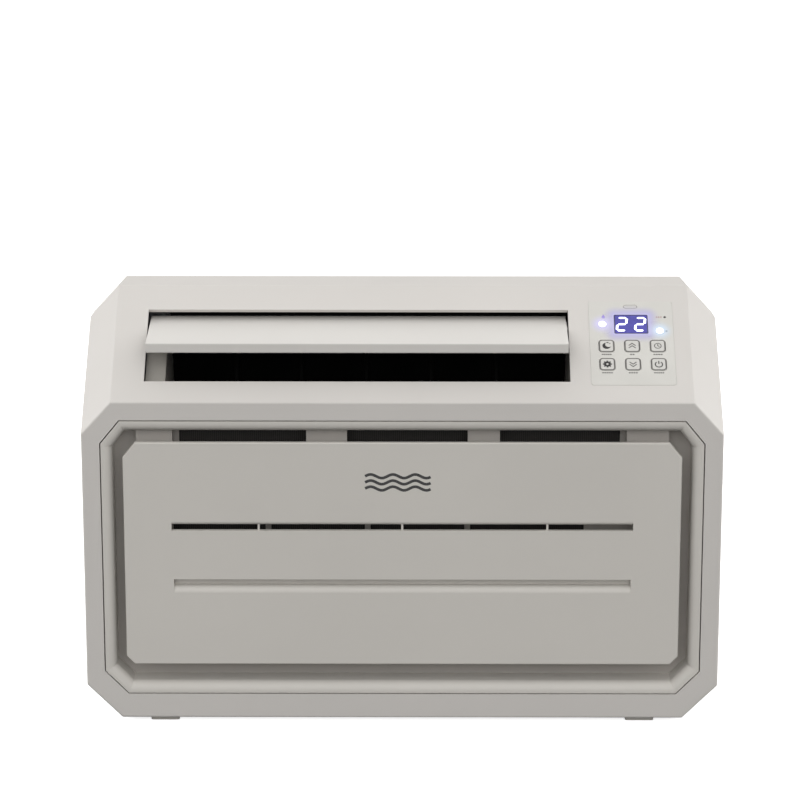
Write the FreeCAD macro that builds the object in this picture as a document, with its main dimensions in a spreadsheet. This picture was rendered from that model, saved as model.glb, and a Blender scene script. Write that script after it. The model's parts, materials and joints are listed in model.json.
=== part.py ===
import FreeCAD, Part
import math
import os
import re
import Sketcher

# A window air conditioner.  Millimetres, X to the right, Y to the back, Z up, origin at the bottom centre.

DIMENSIONS = {
    # whole unit
    "unit_width": 440,
    "unit_depth": 340,
    "foot_height": 2.7,
    "foot_half": 166,
    "wall": 2.5,
    "slip_gap": 0.8,
    # side profile of the front housing
    "face_height": 229.8,
    "slope_angle": 32.2,
    "slope_length": 109.9,
    "housing_depth": 120,
    "slope_corner": 20.7,
    "slope_corner_depth": 19.4,
    "rear_taper": 6.7,
    "bottom_corner": 24.3,
    "housing_round": 1.6,
    # outline of the grille seam, from the middle and from the bottom of the housing
    "seam_top_half": 193.9,
    "seam_side_half": 207.4,
    "seam_bottom_half": 191,
    "seam_top": 217.2,
    "seam_shoulder": 200.7,
    "seam_hip": 34.7,
    "seam_bottom": 17.8,
    "collar_depth": 16,
    "collar_wall": 2.2,
    # grille ring and plate
    "lip_width": 8.4,
    "lip_depth": 12,
    "lip_round": 6.4,
    "ring_wall": 2,
    "floor_depth": 20,
    "plate_top_half": 183.2,
    "plate_side_half": 191.8,
    "plate_bottom_half": 186.2,
    "plate_top": 201.3,
    "plate_shoulder": 190.6,
    "plate_hip": 45.8,
    "plate_bottom": 39.9,
    "plate_thick": 3,
    "plate_round": 0.9,
    "slot_half": 159,
    "upper_slot_low": 138,
    "upper_slot_high": 144.6,
    "upper_slot_round": 2.6,
    "lower_slot_high": 102.4,
    "lower_slot_ledge": 97.2,
    "lower_slot_round": 4.8,
    "ledge_depth": 8,
    "hinge_depth": 3,
    "hinge_rise": 13,
    "hinge_pin": 1.5,
    "hinge_hole": 1.9,
    "filter_thick": 1.6,
    "rib_depth": 10,
    # air outlet on the slope
    "outlet_left": -177.3,
    "outlet_right": 115.3,
    "outlet_low": 19.5,
    "outlet_high": 86.6,
    # flap, measured from its pivot along and across the closed flap
    "flap_pivot_along": 67.6,
    "flap_pivot_under": 17.8,
    "flap_open": 29.7,
    "flap_front": 47.1,
    "flap_back": 16.4,
    "flap_skin": 2.2,
    "flap_lip": 7,
    "flap_side_gap": 1.5,
    "flap_pin": 2,
    # control film, keys and display
    "film_x": 158.75,
    "film_along": 55.55,
    "film_width": 58.3,
    "film_height": 78.1,
    "film_seat": 0.35,
    "film_proud": 0.15,
    "film_corner": 2,
    "key_width": 10.3,
    "key_height": 11,
    "key_gap": 0.4,
    "key_corner": 2.2,
    "key_pitch_x": 17.7,
    "key_pitch_along": 17,
    "key_low_row": -20,
    "key_proud": 0.4,
    "display_width": 23.6,
    "display_height": 17.8,
    "display_along": 17.5,
    "lens_radius": 3,
    "board_under": 9.6,
    # air section
    "wheel_y": -86,
    "wheel_z": 188,
    "wheel_radius": 28,
    "wheel_left": -158,
    "wheel_right": 108,
    "cheek_inner_left": -163.5,
    "cheek_inner_right": 115.6,
    "cheek_right_thick": 3,
    "duct_skin": 1.6,
    "evaporator_front": -142,
    "evaporator_back": -118,
    "coil_fin": 0.4,
    "fin_pitch": 6,
    "tube_radius": 4,
    "partition_x": 119,
    # vanes
    "vane_y": -106,
    "vane_z": 238,
    "vane_tilt": 36.9,
    "vane_first": -115,
    "vane_pitch": 45,
    "vane_below": 18,
    "vane_above": 24,
    "vane_half_chord": 12,
    "vane_thick": 1.6,
    "vane_pin": 1.5,
    "crank_reach": 8,
    # rear chassis
    "sleeve_half": 200,
    "sleeve_low": 8,
    "sleeve_high": 228,
    "sheet": 1.2,
    "pan_lip": 18,
    "bulkhead_gap": 0.4,
    "tab_hole": 2.75,
    "tab_hole_x": 212,
    "tab_front_y": 0,
    "tab_rear_y": 120,
    "condenser_front": 134,
    "condenser_back": 158,
    "fan_x": -55,
    "fan_z": 119,
    "fan_radius": 84,
    "compressor_x": 128,
    "compressor_y": 44,
    "compressor_radius": 54,
    "compressor_low": 24,
    "compressor_height": 176,
}

FRONT = "(-unit_depth / 2)"
REAR = "(unit_depth / 2)"
BOTTOM = "foot_height"
TOP_CORNER_HEIGHT = "(slope_corner_depth / cos(slope_angle * 1 deg))"
FACE_TOP = "(foot_height + face_height)"
SLOPE = "(slope_angle * 1 deg)"
CREST_Y = f"({FRONT} + slope_length * cos({SLOPE}))"
TOP = f"({FACE_TOP} + slope_length * sin({SLOPE}))"
HOUSING_BACK = f"({FRONT} + housing_depth)"
PIVOT_Y = f"({FRONT} + flap_pivot_along * cos({SLOPE}) + flap_pivot_under * sin({SLOPE}))"
PIVOT_Z = f"({FACE_TOP} + flap_pivot_along * sin({SLOPE}) - flap_pivot_under * cos({SLOPE}))"
HINGE_Y = f"({FRONT} + hinge_depth)"
HINGE_Z = "(foot_height + seam_bottom + slip_gap + hinge_rise)"

PLANES = {"side": "YZ_Plane", "front": "XZ_Plane", "plan": "XY_Plane"}
AXES = {
    "x": FreeCAD.Rotation(FreeCAD.Vector(0, 1, 0), 90),
    "y": FreeCAD.Rotation(FreeCAD.Vector(1, 0, 0), -90),
    "z": FreeCAD.Rotation(),
}
LONG = 600

doc = FreeCAD.newDocument("window_air_conditioner")
sheet = doc.addObject("Spreadsheet::Sheet", "Dims")


def fill_sheet():
    for row, (name, size) in enumerate(DIMENSIONS.items(), start=1):
        sheet.set(f"A{row}", name)
        sheet.set(f"B{row}", str(size))
        sheet.setAlias(f"B{row}", name)
    doc.recompute()


def named(text):
    """Point every dimension name in an expression at the sheet."""
    def replace(found):
        word = found.group()
        return "Dims." + word if word in DIMENSIONS else word
    return re.sub(r"[a-z][a-z_]*", replace, str(text))


def number(text):
    """The present value of an expression."""
    return float(sheet.evalExpression(named(text)))


def vector(x, y, z):
    return FreeCAD.Vector(number(x), number(y), number(z))


def bind(thing, **expressions):
    for field, text in expressions.items():
        thing.setExpression(field, named(text))


def locate(thing, point, rotation=None):
    thing.Placement = FreeCAD.Placement(FreeCAD.Vector(), rotation or FreeCAD.Rotation())
    for letter, text in zip("xyz", point):
        thing.setExpression("Placement.Base." + letter, named(text))


def slope_point(x, along, out):
    """A point given across the slope, up along it and out of its face."""
    y = f"{FRONT} + ({along}) * cos({SLOPE}) - ({out}) * sin({SLOPE})"
    z = f"{FACE_TOP} + ({along}) * sin({SLOPE}) + ({out}) * cos({SLOPE})"
    return x, y, z


def box(name, low, high):
    thing = doc.addObject("Part::Box", name)
    sides = [f"({b}) - ({a})" for a, b in zip(low, high)]
    bind(thing, Length=sides[0], Width=sides[1], Height=sides[2])
    locate(thing, low)
    return thing


def slope_box(name, low, high):
    thing = box(name, low, high)
    locate(thing, slope_point(*low), FreeCAD.Rotation(FreeCAD.Vector(1, 0, 0), number("slope_angle")))
    return thing


def rod(name, radius, start, length, along="z"):
    thing = doc.addObject("Part::Cylinder", name)
    bind(thing, Radius=radius, Height=length)
    locate(thing, start, AXES[along])
    return thing


def slope_rod(name, radius, start, length):
    thing = doc.addObject("Part::Cylinder", name)
    bind(thing, Radius=radius, Height=length)
    locate(thing, slope_point(*start), FreeCAD.Rotation(FreeCAD.Vector(1, 0, 0), number("slope_angle")))
    return thing


def fuse(name, *pieces):
    thing = doc.addObject("Part::MultiFuse", name)
    thing.Shapes = list(pieces)
    return thing


def cut(name, base, *tools):
    thing = doc.addObject("Part::Cut", name)
    thing.Base = base
    thing.Tool = tools[0] if len(tools) == 1 else fuse(name + "_tools", *tools)
    return thing


def group(name, *pieces):
    """Several separate solids under one name."""
    thing = doc.addObject("Part::Compound", name)
    thing.Links = list(pieces)
    return thing


def feature(name, shape):
    thing = doc.addObject("Part::Feature", name)
    thing.Shape = shape
    return thing


def soften(name, base, radius, chosen):
    """Round the edges of base for which chosen(edge) is true."""
    doc.recompute()
    thing = doc.addObject("Part::Fillet", name)
    thing.Base = base
    size = number(radius)
    edges = enumerate(base.Shape.Edges, start=1)
    thing.Edges = [(index, size, size) for index, edge in edges if chosen(edge)]
    return thing


def is_along(edge, direction):
    first, last = edge.Vertexes[0].Point, edge.Vertexes[-1].Point
    step = last - first
    return step.Length > 0.01 and step.cross(direction).Length / step.Length < 0.001


def slope_normal():
    angle = math.radians(number("slope_angle"))
    return FreeCAD.Vector(0, -math.sin(angle), math.cos(angle))


def plane_of(body, view):
    return [item for item in body.Origin.OriginFeatures if item.Role == PLANES[view]][0]


def sketch(body, name, view, loops, base=("0", "0", "0"), turn=None):
    """A closed outline for every loop of corners on an origin plane, moved by base and turned."""
    drawing = body.newObject("Sketcher::SketchObject", name)
    drawing.AttachmentSupport = [(plane_of(body, view), "")]
    drawing.MapMode = "FlatFace"
    if turn:
        axis, angle = turn
        drawing.AttachmentOffset = FreeCAD.Placement(FreeCAD.Vector(), FreeCAD.Rotation(axis, number(angle)))
    for letter, text in zip("xyz", base):
        drawing.setExpression("AttachmentOffset.Base." + letter, named(text))
    for corners in loops:
        draw_loop(drawing, corners)
    return drawing


def draw_loop(drawing, corners):
    count = len(corners)
    first = drawing.GeometryCount
    points = [FreeCAD.Vector(number(a), number(b), 0) for a, b in corners]
    for index in range(count):
        drawing.addGeometry(Part.LineSegment(points[index], points[(index + 1) % count]), False)
    for index in range(count):
        following = first + (index + 1) % count
        drawing.addConstraint(Sketcher.Constraint("Coincident", first + index, 2, following, 1))
    for index, corner in enumerate(corners):
        for kind, text, size in zip(("DistanceX", "DistanceY"), corner, points[index]):
            if abs(size) < 1e-9:
                axis = -2 if kind == "DistanceX" else -1
                drawing.addConstraint(Sketcher.Constraint("PointOnObject", first + index, 1, axis))
                continue
            rule = drawing.addConstraint(Sketcher.Constraint(kind, -1, 1, first + index, 1, size))
            drawing.setExpression(f"Constraints[{rule}]", named(text))


def pad(body, name, profile, length, backward=False, middle=False):
    thing = body.newObject("PartDesign::Pad", name)
    thing.Profile = profile
    thing.Reversed = backward
    thing.SideType = "Symmetric" if middle else "One side"
    bind(thing, Length=length)
    body.Tip = thing
    return thing


def pocket(body, name, profile, length, backward=False, middle=False):
    thing = body.newObject("PartDesign::Pocket", name)
    thing.Profile = profile
    thing.Reversed = backward
    thing.SideType = "Symmetric" if middle else "One side"
    bind(thing, Length=length)
    body.Tip = thing
    return thing


def prism(name, view, loops, start, length):
    """Outlines drawn in one view and pushed out from start by length."""
    body = doc.addObject("PartDesign::Body", name)
    lift = f"-({start})" if view == "front" else start
    drawing = sketch(body, name + "_outline", view, loops, ("0", "0", lift))
    pad(body, name + "_pad", drawing, length, backward=(view == "front"))
    return body


def mirrored(half):
    """Corners on the right, bottom first, joined to the same corners on the left."""
    left = [(f"-({x})", z) for x, z in reversed(half)]
    return half + left


def seam_outline(inset):
    return mirrored([
        (f"seam_bottom_half - 0.42 * ({inset})", f"{BOTTOM} + seam_bottom + ({inset})"),
        (f"seam_side_half - ({inset})", f"{BOTTOM} + seam_hip + 0.42 * ({inset})"),
        (f"seam_side_half - ({inset})", f"{BOTTOM} + seam_shoulder - 0.42 * ({inset})"),
        (f"seam_top_half - 0.42 * ({inset})", f"{BOTTOM} + seam_top - ({inset})"),
    ])


# ---------------------------------------------------------------- front housing

def front_housing():
    """Moulded shell with a sloping top, an intake opening, an air outlet and a seat for the controls."""
    outside = housing_form("housing_outside", "0", HOUSING_BACK)
    round_front_edges(outside)
    inside = housing_form("housing_inside", "wall", f"({HOUSING_BACK} + 5)")
    shell = cut("housing_shell", outside, inside)
    with_bosses = fuse("housing_with_bosses", shell, intake_collar(), *board_bosses())
    openings = [outlet_opening(), film_seat()] + control_openings() + hinge_holes()
    return cut("front_housing", with_bosses, intake_opening(), *openings)


def housing_form(name, inset, back):
    """The solid form of the housing, drawn in from its outer faces by inset."""
    body = doc.addObject("PartDesign::Body", name)
    profile = [
        (f"{FRONT} + {inset}", f"{BOTTOM} + {inset}"),
        (f"{FRONT} + {inset}", f"{FACE_TOP} + {inset} * (tan({SLOPE}) - 1 / cos({SLOPE}))"),
        (f"{CREST_Y} + {inset} * (1 / cos({SLOPE}) - 1) / tan({SLOPE})", f"{TOP} - {inset}"),
        (back, f"{TOP} - {inset}"),
        (back, f"{BOTTOM} + {inset}"),
    ]
    side = sketch(body, name + "_profile", "side", [profile])
    pad(body, name + "_block", side, f"unit_width - 2 * {inset}", middle=True)
    cut_slope_corners(body, inset)
    cut_level_corners(body, inset)
    return body


def both_sides(loops):
    return loops + [[(f"-({x})", z) for x, z in loop] for loop in loops]


def cut_slope_corners(body, inset):
    lean = "sqrt(1 + (slope_corner / slope_corner_depth) ^ 2)"
    start = f"unit_width / 2 - slope_corner - {inset} * {lean}"
    wedge = [
        (f"{start} - slope_corner", "slope_corner_depth"),
        (f"{start} + 2 * slope_corner", "slope_corner_depth"),
        (f"{start} + 2 * slope_corner", "-2 * slope_corner_depth"),
    ]
    drawing = sketch(body, body.Name + "_slope_corners", "front", both_sides([wedge]),
                     ("0", FACE_TOP, f"-{FRONT}"), (FreeCAD.Vector(1, 0, 0), "slope_angle"))
    pocket(body, body.Name + "_slope_cut", drawing, LONG, middle=True)


def cut_level_corners(body, inset):
    """Corners along the level top, which draw in to the rear, and along the bottom."""
    lean = f"sqrt(1 + (slope_corner / {TOP_CORNER_HEIGHT}) ^ 2)"
    start = f"unit_width / 2 - slope_corner - {inset} * {lean}"
    bottom_start = f"unit_width / 2 - bottom_corner - {inset} * 1.414"
    for side, name in ((1, "right"), (-1, "left")):
        upper = [
            ("-slope_corner", TOP_CORNER_HEIGHT),
            ("2 * slope_corner", TOP_CORNER_HEIGHT),
            ("2 * slope_corner", f"-2 * {TOP_CORNER_HEIGHT}"),
        ]
        mirrored_upper = [(f"{side} * ({x})", z) for x, z in upper]
        top = sketch(body, f"{body.Name}_{name}_top_corner", "front", [mirrored_upper],
                     (f"{side} * ({start})", TOP, f"-{CREST_Y}"),
                     (FreeCAD.Vector(0, side, 0), "rear_taper"))
        pocket(body, f"{body.Name}_{name}_top_cut", top, LONG, middle=True)
    lower = [
        (f"{bottom_start} - bottom_corner", f"{BOTTOM} - bottom_corner"),
        (f"{bottom_start} + 2 * bottom_corner", f"{BOTTOM} - bottom_corner"),
        (f"{bottom_start} + 2 * bottom_corner", f"{BOTTOM} + 2 * bottom_corner"),
    ]
    drawing = sketch(body, body.Name + "_bottom_corners", "front", both_sides([lower]))
    pocket(body, body.Name + "_bottom_cut", drawing, LONG, middle=True)


def round_front_edges(body):
    """Round every outer edge that does not lie on the back."""
    doc.recompute()
    back = number(HOUSING_BACK)
    edges = enumerate(body.Shape.Edges, start=1)
    front_edges = [f"Edge{index}" for index, edge in edges
                   if min(vertex.Point.y for vertex in edge.Vertexes) < back - 1]
    base = body.Tip
    rounded = body.newObject("PartDesign::Fillet", body.Name + "_rounding")
    rounded.Base = (base, front_edges)
    bind(rounded, Radius="housing_round")
    body.Tip = rounded


def intake_collar():
    loops = [seam_outline("-collar_wall"), seam_outline("0")]
    return prism("intake_collar", "front", loops, f"{FRONT} + wall - 0.5", "collar_depth + 0.5")


def intake_opening():
    return prism("intake_opening", "front", [seam_outline("0")], f"{FRONT} - 1", "wall + 2")


def outlet_opening():
    low = ("outlet_left", "outlet_low", "-wall - 4")
    high = ("outlet_right", "outlet_high", "4")
    return slope_box("outlet_opening", low, high)


def round_slab(name, x, along, width, height, low, high, corner):
    """A slab lying on the slope with rounded corners."""
    slab = slope_box(name + "_slab", (f"{x} - {width} / 2", f"{along} - {height} / 2", low),
                     (f"{x} + {width} / 2", f"{along} + {height} / 2", high))
    normal = slope_normal()
    return soften(name, slab, corner, lambda edge: is_along(edge, normal))


def film_seat():
    return round_slab("film_seat", "film_x", "film_along", "(film_width + 0.2)", "(film_height + 0.2)",
                      "-film_seat", "2", "film_corner")


def key_centre(column, row):
    return (f"film_x + ({column}) * key_pitch_x",
            f"film_along + key_low_row + ({row}) * key_pitch_along")


KEYS = {
    "key_mode": (-1, 0),
    "key_down": (0, 0),
    "key_power": (1, 0),
    "key_sleep": (-1, 1),
    "key_up": (0, 1),
    "key_timer": (1, 1),
}

LENSES = {
    "left_lens": ("film_x - 19.9", "film_along + 17.2"),
    "right_lens": ("film_x + 19.8", "film_along + 11"),
}


def control_openings(margin="0", low="-wall - 1", high="2", prefix="housing"):
    """Holes for the keys, the display window and the lenses."""
    holes = []
    for name, (column, row) in KEYS.items():
        x, along = key_centre(column, row)
        holes.append(round_slab(f"{prefix}_{name}_hole", f"({x})", f"({along})",
                                "(key_width + 2 * key_gap)", "(key_height + 2 * key_gap)",
                                low, high, "key_corner + key_gap"))
    holes.append(round_slab(f"{prefix}_display_hole", "film_x", "(film_along + display_along)",
                            "(display_width + 0.6)", "(display_height + 0.6)", low, high, "1.3"))
    holes.append(round_slab(f"{prefix}_sensor_hole", "film_x", "(film_along + 34.1)",
                            "9.6", "3.6", low, high, "1.75"))
    for name, (x, along) in LENSES.items():
        holes.append(slope_rod(f"{prefix}_{name}_hole", "lens_radius + 0.3", (x, along, low),
                               f"{high} - ({low})"))
    return holes


def board_corners():
    return [(f"film_x + {side} * 25", f"film_along + {end} * 35") for side in (-1, 1) for end in (-1, 1)]


def board_bosses():
    """Short posts under the slope that carry the display board."""
    return [slope_rod(f"board_boss_{index}", "2.4", (x, along, "-board_under + 1.6"), "board_under - 2")
            for index, (x, along) in enumerate(board_corners())]


def hinge_holes():
    """Blind holes in the collar for the two grille pins."""
    right = rod("hinge_hole_right", "hinge_hole", ("seam_bottom_half + 8", HINGE_Y, HINGE_Z), "12", "x")
    left = rod("hinge_hole_left", "hinge_hole", ("-seam_bottom_half - 20", HINGE_Y, HINGE_Z), "12", "x")
    return [right, left]


# ---------------------------------------------------------------- intake grille

def grille_ring():
    """Frame with a rounded lip, a wall behind it and two hinge pins."""
    body = doc.addObject("PartDesign::Body", "ring_lip")
    outer = seam_outline("slip_gap")
    inner = seam_outline("lip_width")
    lip = sketch(body, "lip_outline", "front", [outer, inner], ("0", "0", f"-{FRONT}"))
    pad(body, "lip_pad", lip, "lip_depth", backward=True)
    doc.recompute()
    front = number(FRONT)
    inner_top = number(f"{BOTTOM} + seam_top - lip_width")
    inner_bottom = number(f"{BOTTOM} + seam_bottom + lip_width")
    inner_side = number("seam_side_half - lip_width")

    def on_inner_front(edge):
        bounds = edge.BoundBox
        if bounds.YMax > front + 0.1:
            return False
        inside_height = bounds.ZMax < inner_top + 0.1 and bounds.ZMin > inner_bottom - 0.1
        return inside_height and max(abs(bounds.XMin), abs(bounds.XMax)) < inner_side + 0.1

    edges = enumerate(body.Shape.Edges, start=1)
    names = [f"Edge{index}" for index, edge in edges if on_inner_front(edge)]
    base = body.Tip
    rounded = body.newObject("PartDesign::Fillet", "lip_rounding")
    rounded.Base = (base, names)
    bind(rounded, Radius="lip_round")
    body.Tip = rounded
    doc.recompute()
    wall = prism("ring_wall_tube", "front", [seam_outline("lip_width - ring_wall"), inner],
                 f"{FRONT} + lip_depth - 0.5", "floor_depth - lip_depth + 2.5")
    pins = [rod("ring_pin_right", "hinge_pin", ("seam_bottom_half + 6", HINGE_Y, HINGE_Z), "13", "x"),
            rod("ring_pin_left", "hinge_pin", ("-seam_bottom_half - 19", HINGE_Y, HINGE_Z), "13", "x")]
    return fuse("grille_ring", body, wall, *pins)


def grille_tray():
    """Floor behind the plate, with air windows, ribs at the top and posts that carry the plate."""
    floor = prism("tray_floor", "front", [seam_outline("lip_width")], f"{FRONT} + floor_depth", "ring_wall")
    whole = fuse("tray_solid", floor, *tray_ribs(), *plate_posts())
    return cut("grille_tray", whole, *floor_windows())


def tray_ribs():
    """Broad ribs between the top windows, which stand up to the back of the lip."""
    ribs = []
    for left, right in ((-183, -158), (-66, -38), (45, 67), (154, 183)):
        rib = box(f"tray_rib_{len(ribs)}", (left, f"{FRONT} + rib_depth", f"{BOTTOM} + 196"),
                  (right, f"{FRONT} + floor_depth + 0.5", f"{BOTTOM} + seam_top - lip_width"))
        ribs.append(rib)
    return ribs


def plate_posts():
    """Posts from the tray floor to the back of the plate."""
    posts = []
    for x in (-172, -60, 52, 172):
        for z in (64, 172):
            name = f"plate_post_{len(posts)}"
            posts.append(rod(name, "3", (x, f"{FRONT} + plate_thick", f"{BOTTOM} + {z}"),
                             "floor_depth - plate_thick + 0.5", "y"))
    return posts


def floor_windows():
    """Air windows in the tray floor: three at the top, a row at the slot, one at the bottom."""
    rows = {
        "top": (154, 207, [(-154, -66), (-38, 45), (67, 150)]),
        "slot": (124, 149, [(-159, -95), (-91, -26), (-22, 43), (47, 126)]),
        "middle": (76, 88, [(-154, -66), (-38, 45), (67, 130)]),
        "bottom": (40, 54, [(-154, 130)]),
    }
    windows = []
    for row, (low, high, spans) in rows.items():
        for left, right in spans:
            windows.append(box(f"{row}_window_{len(windows)}",
                               (left, f"{FRONT} + floor_depth - 1", f"{BOTTOM} + {low}"),
                               (right, f"{FRONT} + floor_depth + 4", f"{BOTTOM} + {high}")))
    return windows


def grille_plate():
    """Flush front plate with two long intake slots."""
    outline = mirrored([
        ("plate_bottom_half", f"{BOTTOM} + plate_bottom"),
        ("plate_side_half", f"{BOTTOM} + plate_hip"),
        ("plate_side_half", f"{BOTTOM} + plate_shoulder"),
        ("plate_top_half", f"{BOTTOM} + plate_top"),
    ])
    slab = prism("plate_slab", "front", [outline], FRONT, "plate_thick")
    ledge = box("slot_ledge", ("-slot_half", f"{FRONT} + 1", f"{BOTTOM} + lower_slot_ledge - 10"),
                ("slot_half", f"{FRONT} + ledge_depth", f"{BOTTOM} + lower_slot_ledge"))
    above_slot = f"{BOTTOM} + lower_slot_high + 4"
    below_slot = f"{BOTTOM} + lower_slot_ledge - 10"
    guard = box("slot_guard",
                ("-slot_half", f"{FRONT} + ledge_depth - 1.6", f"{BOTTOM} + lower_slot_ledge - 1"),
                ("slot_half", f"{FRONT} + ledge_depth", above_slot))
    ends = [box(f"slot_end_{side}", (f"{side} * slot_half - 1", f"{FRONT} + 1", below_slot),
                (f"{side} * slot_half + 1", f"{FRONT} + ledge_depth", above_slot))
            for side in (-1, 1)]
    solid = fuse("plate_solid", slab, ledge, guard, *ends)
    upper = box("upper_slot", ("-slot_half", f"{FRONT} - 1", f"{BOTTOM} + upper_slot_low"),
                ("slot_half", f"{FRONT} + plate_thick + 1", f"{BOTTOM} + upper_slot_high - upper_slot_round"))
    lower = box("lower_slot", ("-slot_half + 1", f"{FRONT} - 1", f"{BOTTOM} + lower_slot_ledge"),
                ("slot_half - 1", f"{FRONT} + ledge_depth - 1.6", f"{BOTTOM} + lower_slot_high"))
    slotted = cut("plate_slotted", solid, upper, lower)
    doc.recompute()
    front = number(FRONT)
    upper_edge = number(f"{BOTTOM} + upper_slot_high - upper_slot_round")
    lower_edge = number(f"{BOTTOM} + lower_slot_ledge")

    def slot_edge(height):
        def chosen(edge):
            bounds = edge.BoundBox
            return (abs(bounds.ZMin - height) < 0.05 and abs(bounds.ZMax - height) < 0.05
                    and bounds.YMax < front + 0.05 and bounds.XLength > 200)
        return chosen

    upper_soft = soften("plate_upper_soft", slotted, "upper_slot_round", slot_edge(upper_edge))
    lower_soft = soften("plate_lower_soft", upper_soft, "lower_slot_round", slot_edge(lower_edge))
    doc.recompute()
    rim = number("plate_bottom_half") - 8

    def outer_rim(edge):
        bounds = edge.BoundBox
        if bounds.YMax > front + 0.05:
            return False
        outside = max(abs(bounds.XMin), abs(bounds.XMax)) > rim
        return outside

    soft = soften("plate_soft", lower_soft, "plate_round", outer_rim)
    posts = [box(f"slot_post_{index}", (f"{x} - 0.7", f"{FRONT} + 1.6", f"{BOTTOM} + upper_slot_low - 1"),
                 (f"{x} + 0.7", f"{FRONT} + plate_thick", f"{BOTTOM} + upper_slot_high + 1"))
             for index, x in enumerate((-99, 0, 100))]
    return fuse("grille_plate", soft, *posts)


def air_filter():
    """Framed net that hangs behind the tray floor."""
    back = f"{FRONT} + floor_depth + ring_wall + 0.3"
    frame = box("filter_block", ("-183", back, f"{BOTTOM} + 31"),
                ("150", f"{back} + filter_thick", f"{BOTTOM} + 205"))
    holes = []
    for column in range(6):
        for row in range(4):
            left, low = -180 + column * 55, 29 + row * 44
            holes.append(box(f"filter_cell_{column}_{row}", (left, f"{back} - 1", f"{BOTTOM} + {low}"),
                             (left + 52, f"{back} + 0.6", f"{BOTTOM} + {low + 41}")))
    return cut("air_filter", frame, *holes)


# ---------------------------------------------------------------- outlet flap and vanes

FLAP_LEFT = "(outlet_left + flap_side_gap)"
FLAP_RIGHT = "(outlet_right - flap_side_gap)"
FLAP_TURN = (FreeCAD.Vector(0, 0, 1), "slope_angle - flap_open")


def flap_section(name, corners, start, length):
    body = doc.addObject("PartDesign::Body", name)
    drawing = sketch(body, name + "_outline", "side", [corners], (PIVOT_Y, PIVOT_Z, start), FLAP_TURN)
    pad(body, name + "_pad", drawing, length)
    return body


def outlet_flap():
    """Swinging lid of the air outlet with a thick front lip and two pivot ears."""
    under = "flap_pivot_under"
    blade = flap_section("flap_blade", [
        ("-flap_front", f"{under} - flap_lip"),
        ("-flap_front", f"{under}"),
        ("flap_back", f"{under}"),
        ("flap_back", f"{under} - flap_skin"),
        ("-flap_front + 9", f"{under} - flap_skin - 0.8"),
        ("-flap_front + 4.5", f"{under} - flap_lip"),
    ], FLAP_LEFT, f"{FLAP_RIGHT} - {FLAP_LEFT}")
    along_x = FreeCAD.Vector(1, 0, 0)
    soft = soften("flap_soft", blade, "0.9", lambda edge: is_along(edge, along_x))
    ear_top = f"{under} - flap_skin + 0.6"
    ear = [("-9", ear_top), ("8", ear_top), ("3.6", "-3.6"), ("-3.6", "-3.6")]
    left_ear = flap_section("flap_ear_left", ear, "cheek_inner_left + 1", "2.4")
    right_ear = flap_section("flap_ear_right", ear, "cheek_inner_right - 3.4", "2.4")
    left_pin = rod("flap_pin_left", "flap_pin", ("cheek_inner_left - 8", PIVOT_Y, PIVOT_Z), "10", "x")
    right_pin = rod("flap_pin_right", "flap_pin", ("cheek_inner_right - 2", PIVOT_Y, PIVOT_Z), "9", "x")
    return fuse("outlet_flap", soft, left_ear, right_ear, left_pin, right_pin)


def flap_motor():
    """Small stepping motor that turns the flap from the right."""
    start = "cheek_inner_right + cheek_right_thick + 0.3"
    case = rod("flap_motor_case", "12", (start, PIVOT_Y, f"{PIVOT_Z} - 6"), "16", "x")
    socket = rod("flap_motor_socket", "flap_pin + 0.4",
                 ("cheek_inner_right + cheek_right_thick", PIVOT_Y, PIVOT_Z), "6", "x")
    return cut("flap_motor", case, socket)


def vane_rotation():
    """Vanes stand across the duct: local X stays X, local Z runs from the tray side to the back wall."""
    tilt = number("vane_tilt")
    return FreeCAD.Rotation(FreeCAD.Vector(1, 0, 0), tilt - 90)


def vane_point(x, flow, span):
    """A point given along X, along the air flow and along the vane axis."""
    tilt = "(vane_tilt * 1 deg)"
    y = f"vane_y - ({flow}) * sin({tilt}) + ({span}) * cos({tilt})"
    z = f"vane_z + ({flow}) * cos({tilt}) + ({span}) * sin({tilt})"
    return x, y, z


def vane_box(name, low, high):
    """A box given by x, flow and span limits."""
    (x_low, flow_low, span_low), (x_high, flow_high, span_high) = low, high
    thing = doc.addObject("Part::Box", name)
    bind(thing, Length=f"({x_high}) - ({x_low})", Width=f"({flow_high}) - ({flow_low})",
         Height=f"({span_high}) - ({span_low})")
    locate(thing, vane_point(x_low, flow_high, span_low), vane_rotation())
    return thing


def vane_rod(name, radius, start, length):
    thing = doc.addObject("Part::Cylinder", name)
    bind(thing, Radius=radius, Height=length)
    locate(thing, vane_point(*start), vane_rotation())
    return thing


VANES = range(5)


def vane_x(index):
    return f"(vane_first + {index} * vane_pitch)"


def vane(index):
    """Upright blade that turns on two pins and carries a crank pin."""
    x = vane_x(index)
    blade = vane_box(f"vane_blade_{index}", (f"{x} - vane_thick / 2", "-vane_half_chord", "-vane_below"),
                     (f"{x} + vane_thick / 2", "vane_half_chord", "vane_above"))
    pins = vane_rod(f"vane_pins_{index}", "vane_pin", (x, "0", "-vane_below - 8"),
                    "vane_below + vane_above + 12")
    crank = vane_rod(f"vane_crank_{index}", "1.2", (x, "crank_reach", "-vane_below - 4.6"), "6")
    return fuse(f"vane_{index + 1}", blade, pins, crank)


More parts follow.
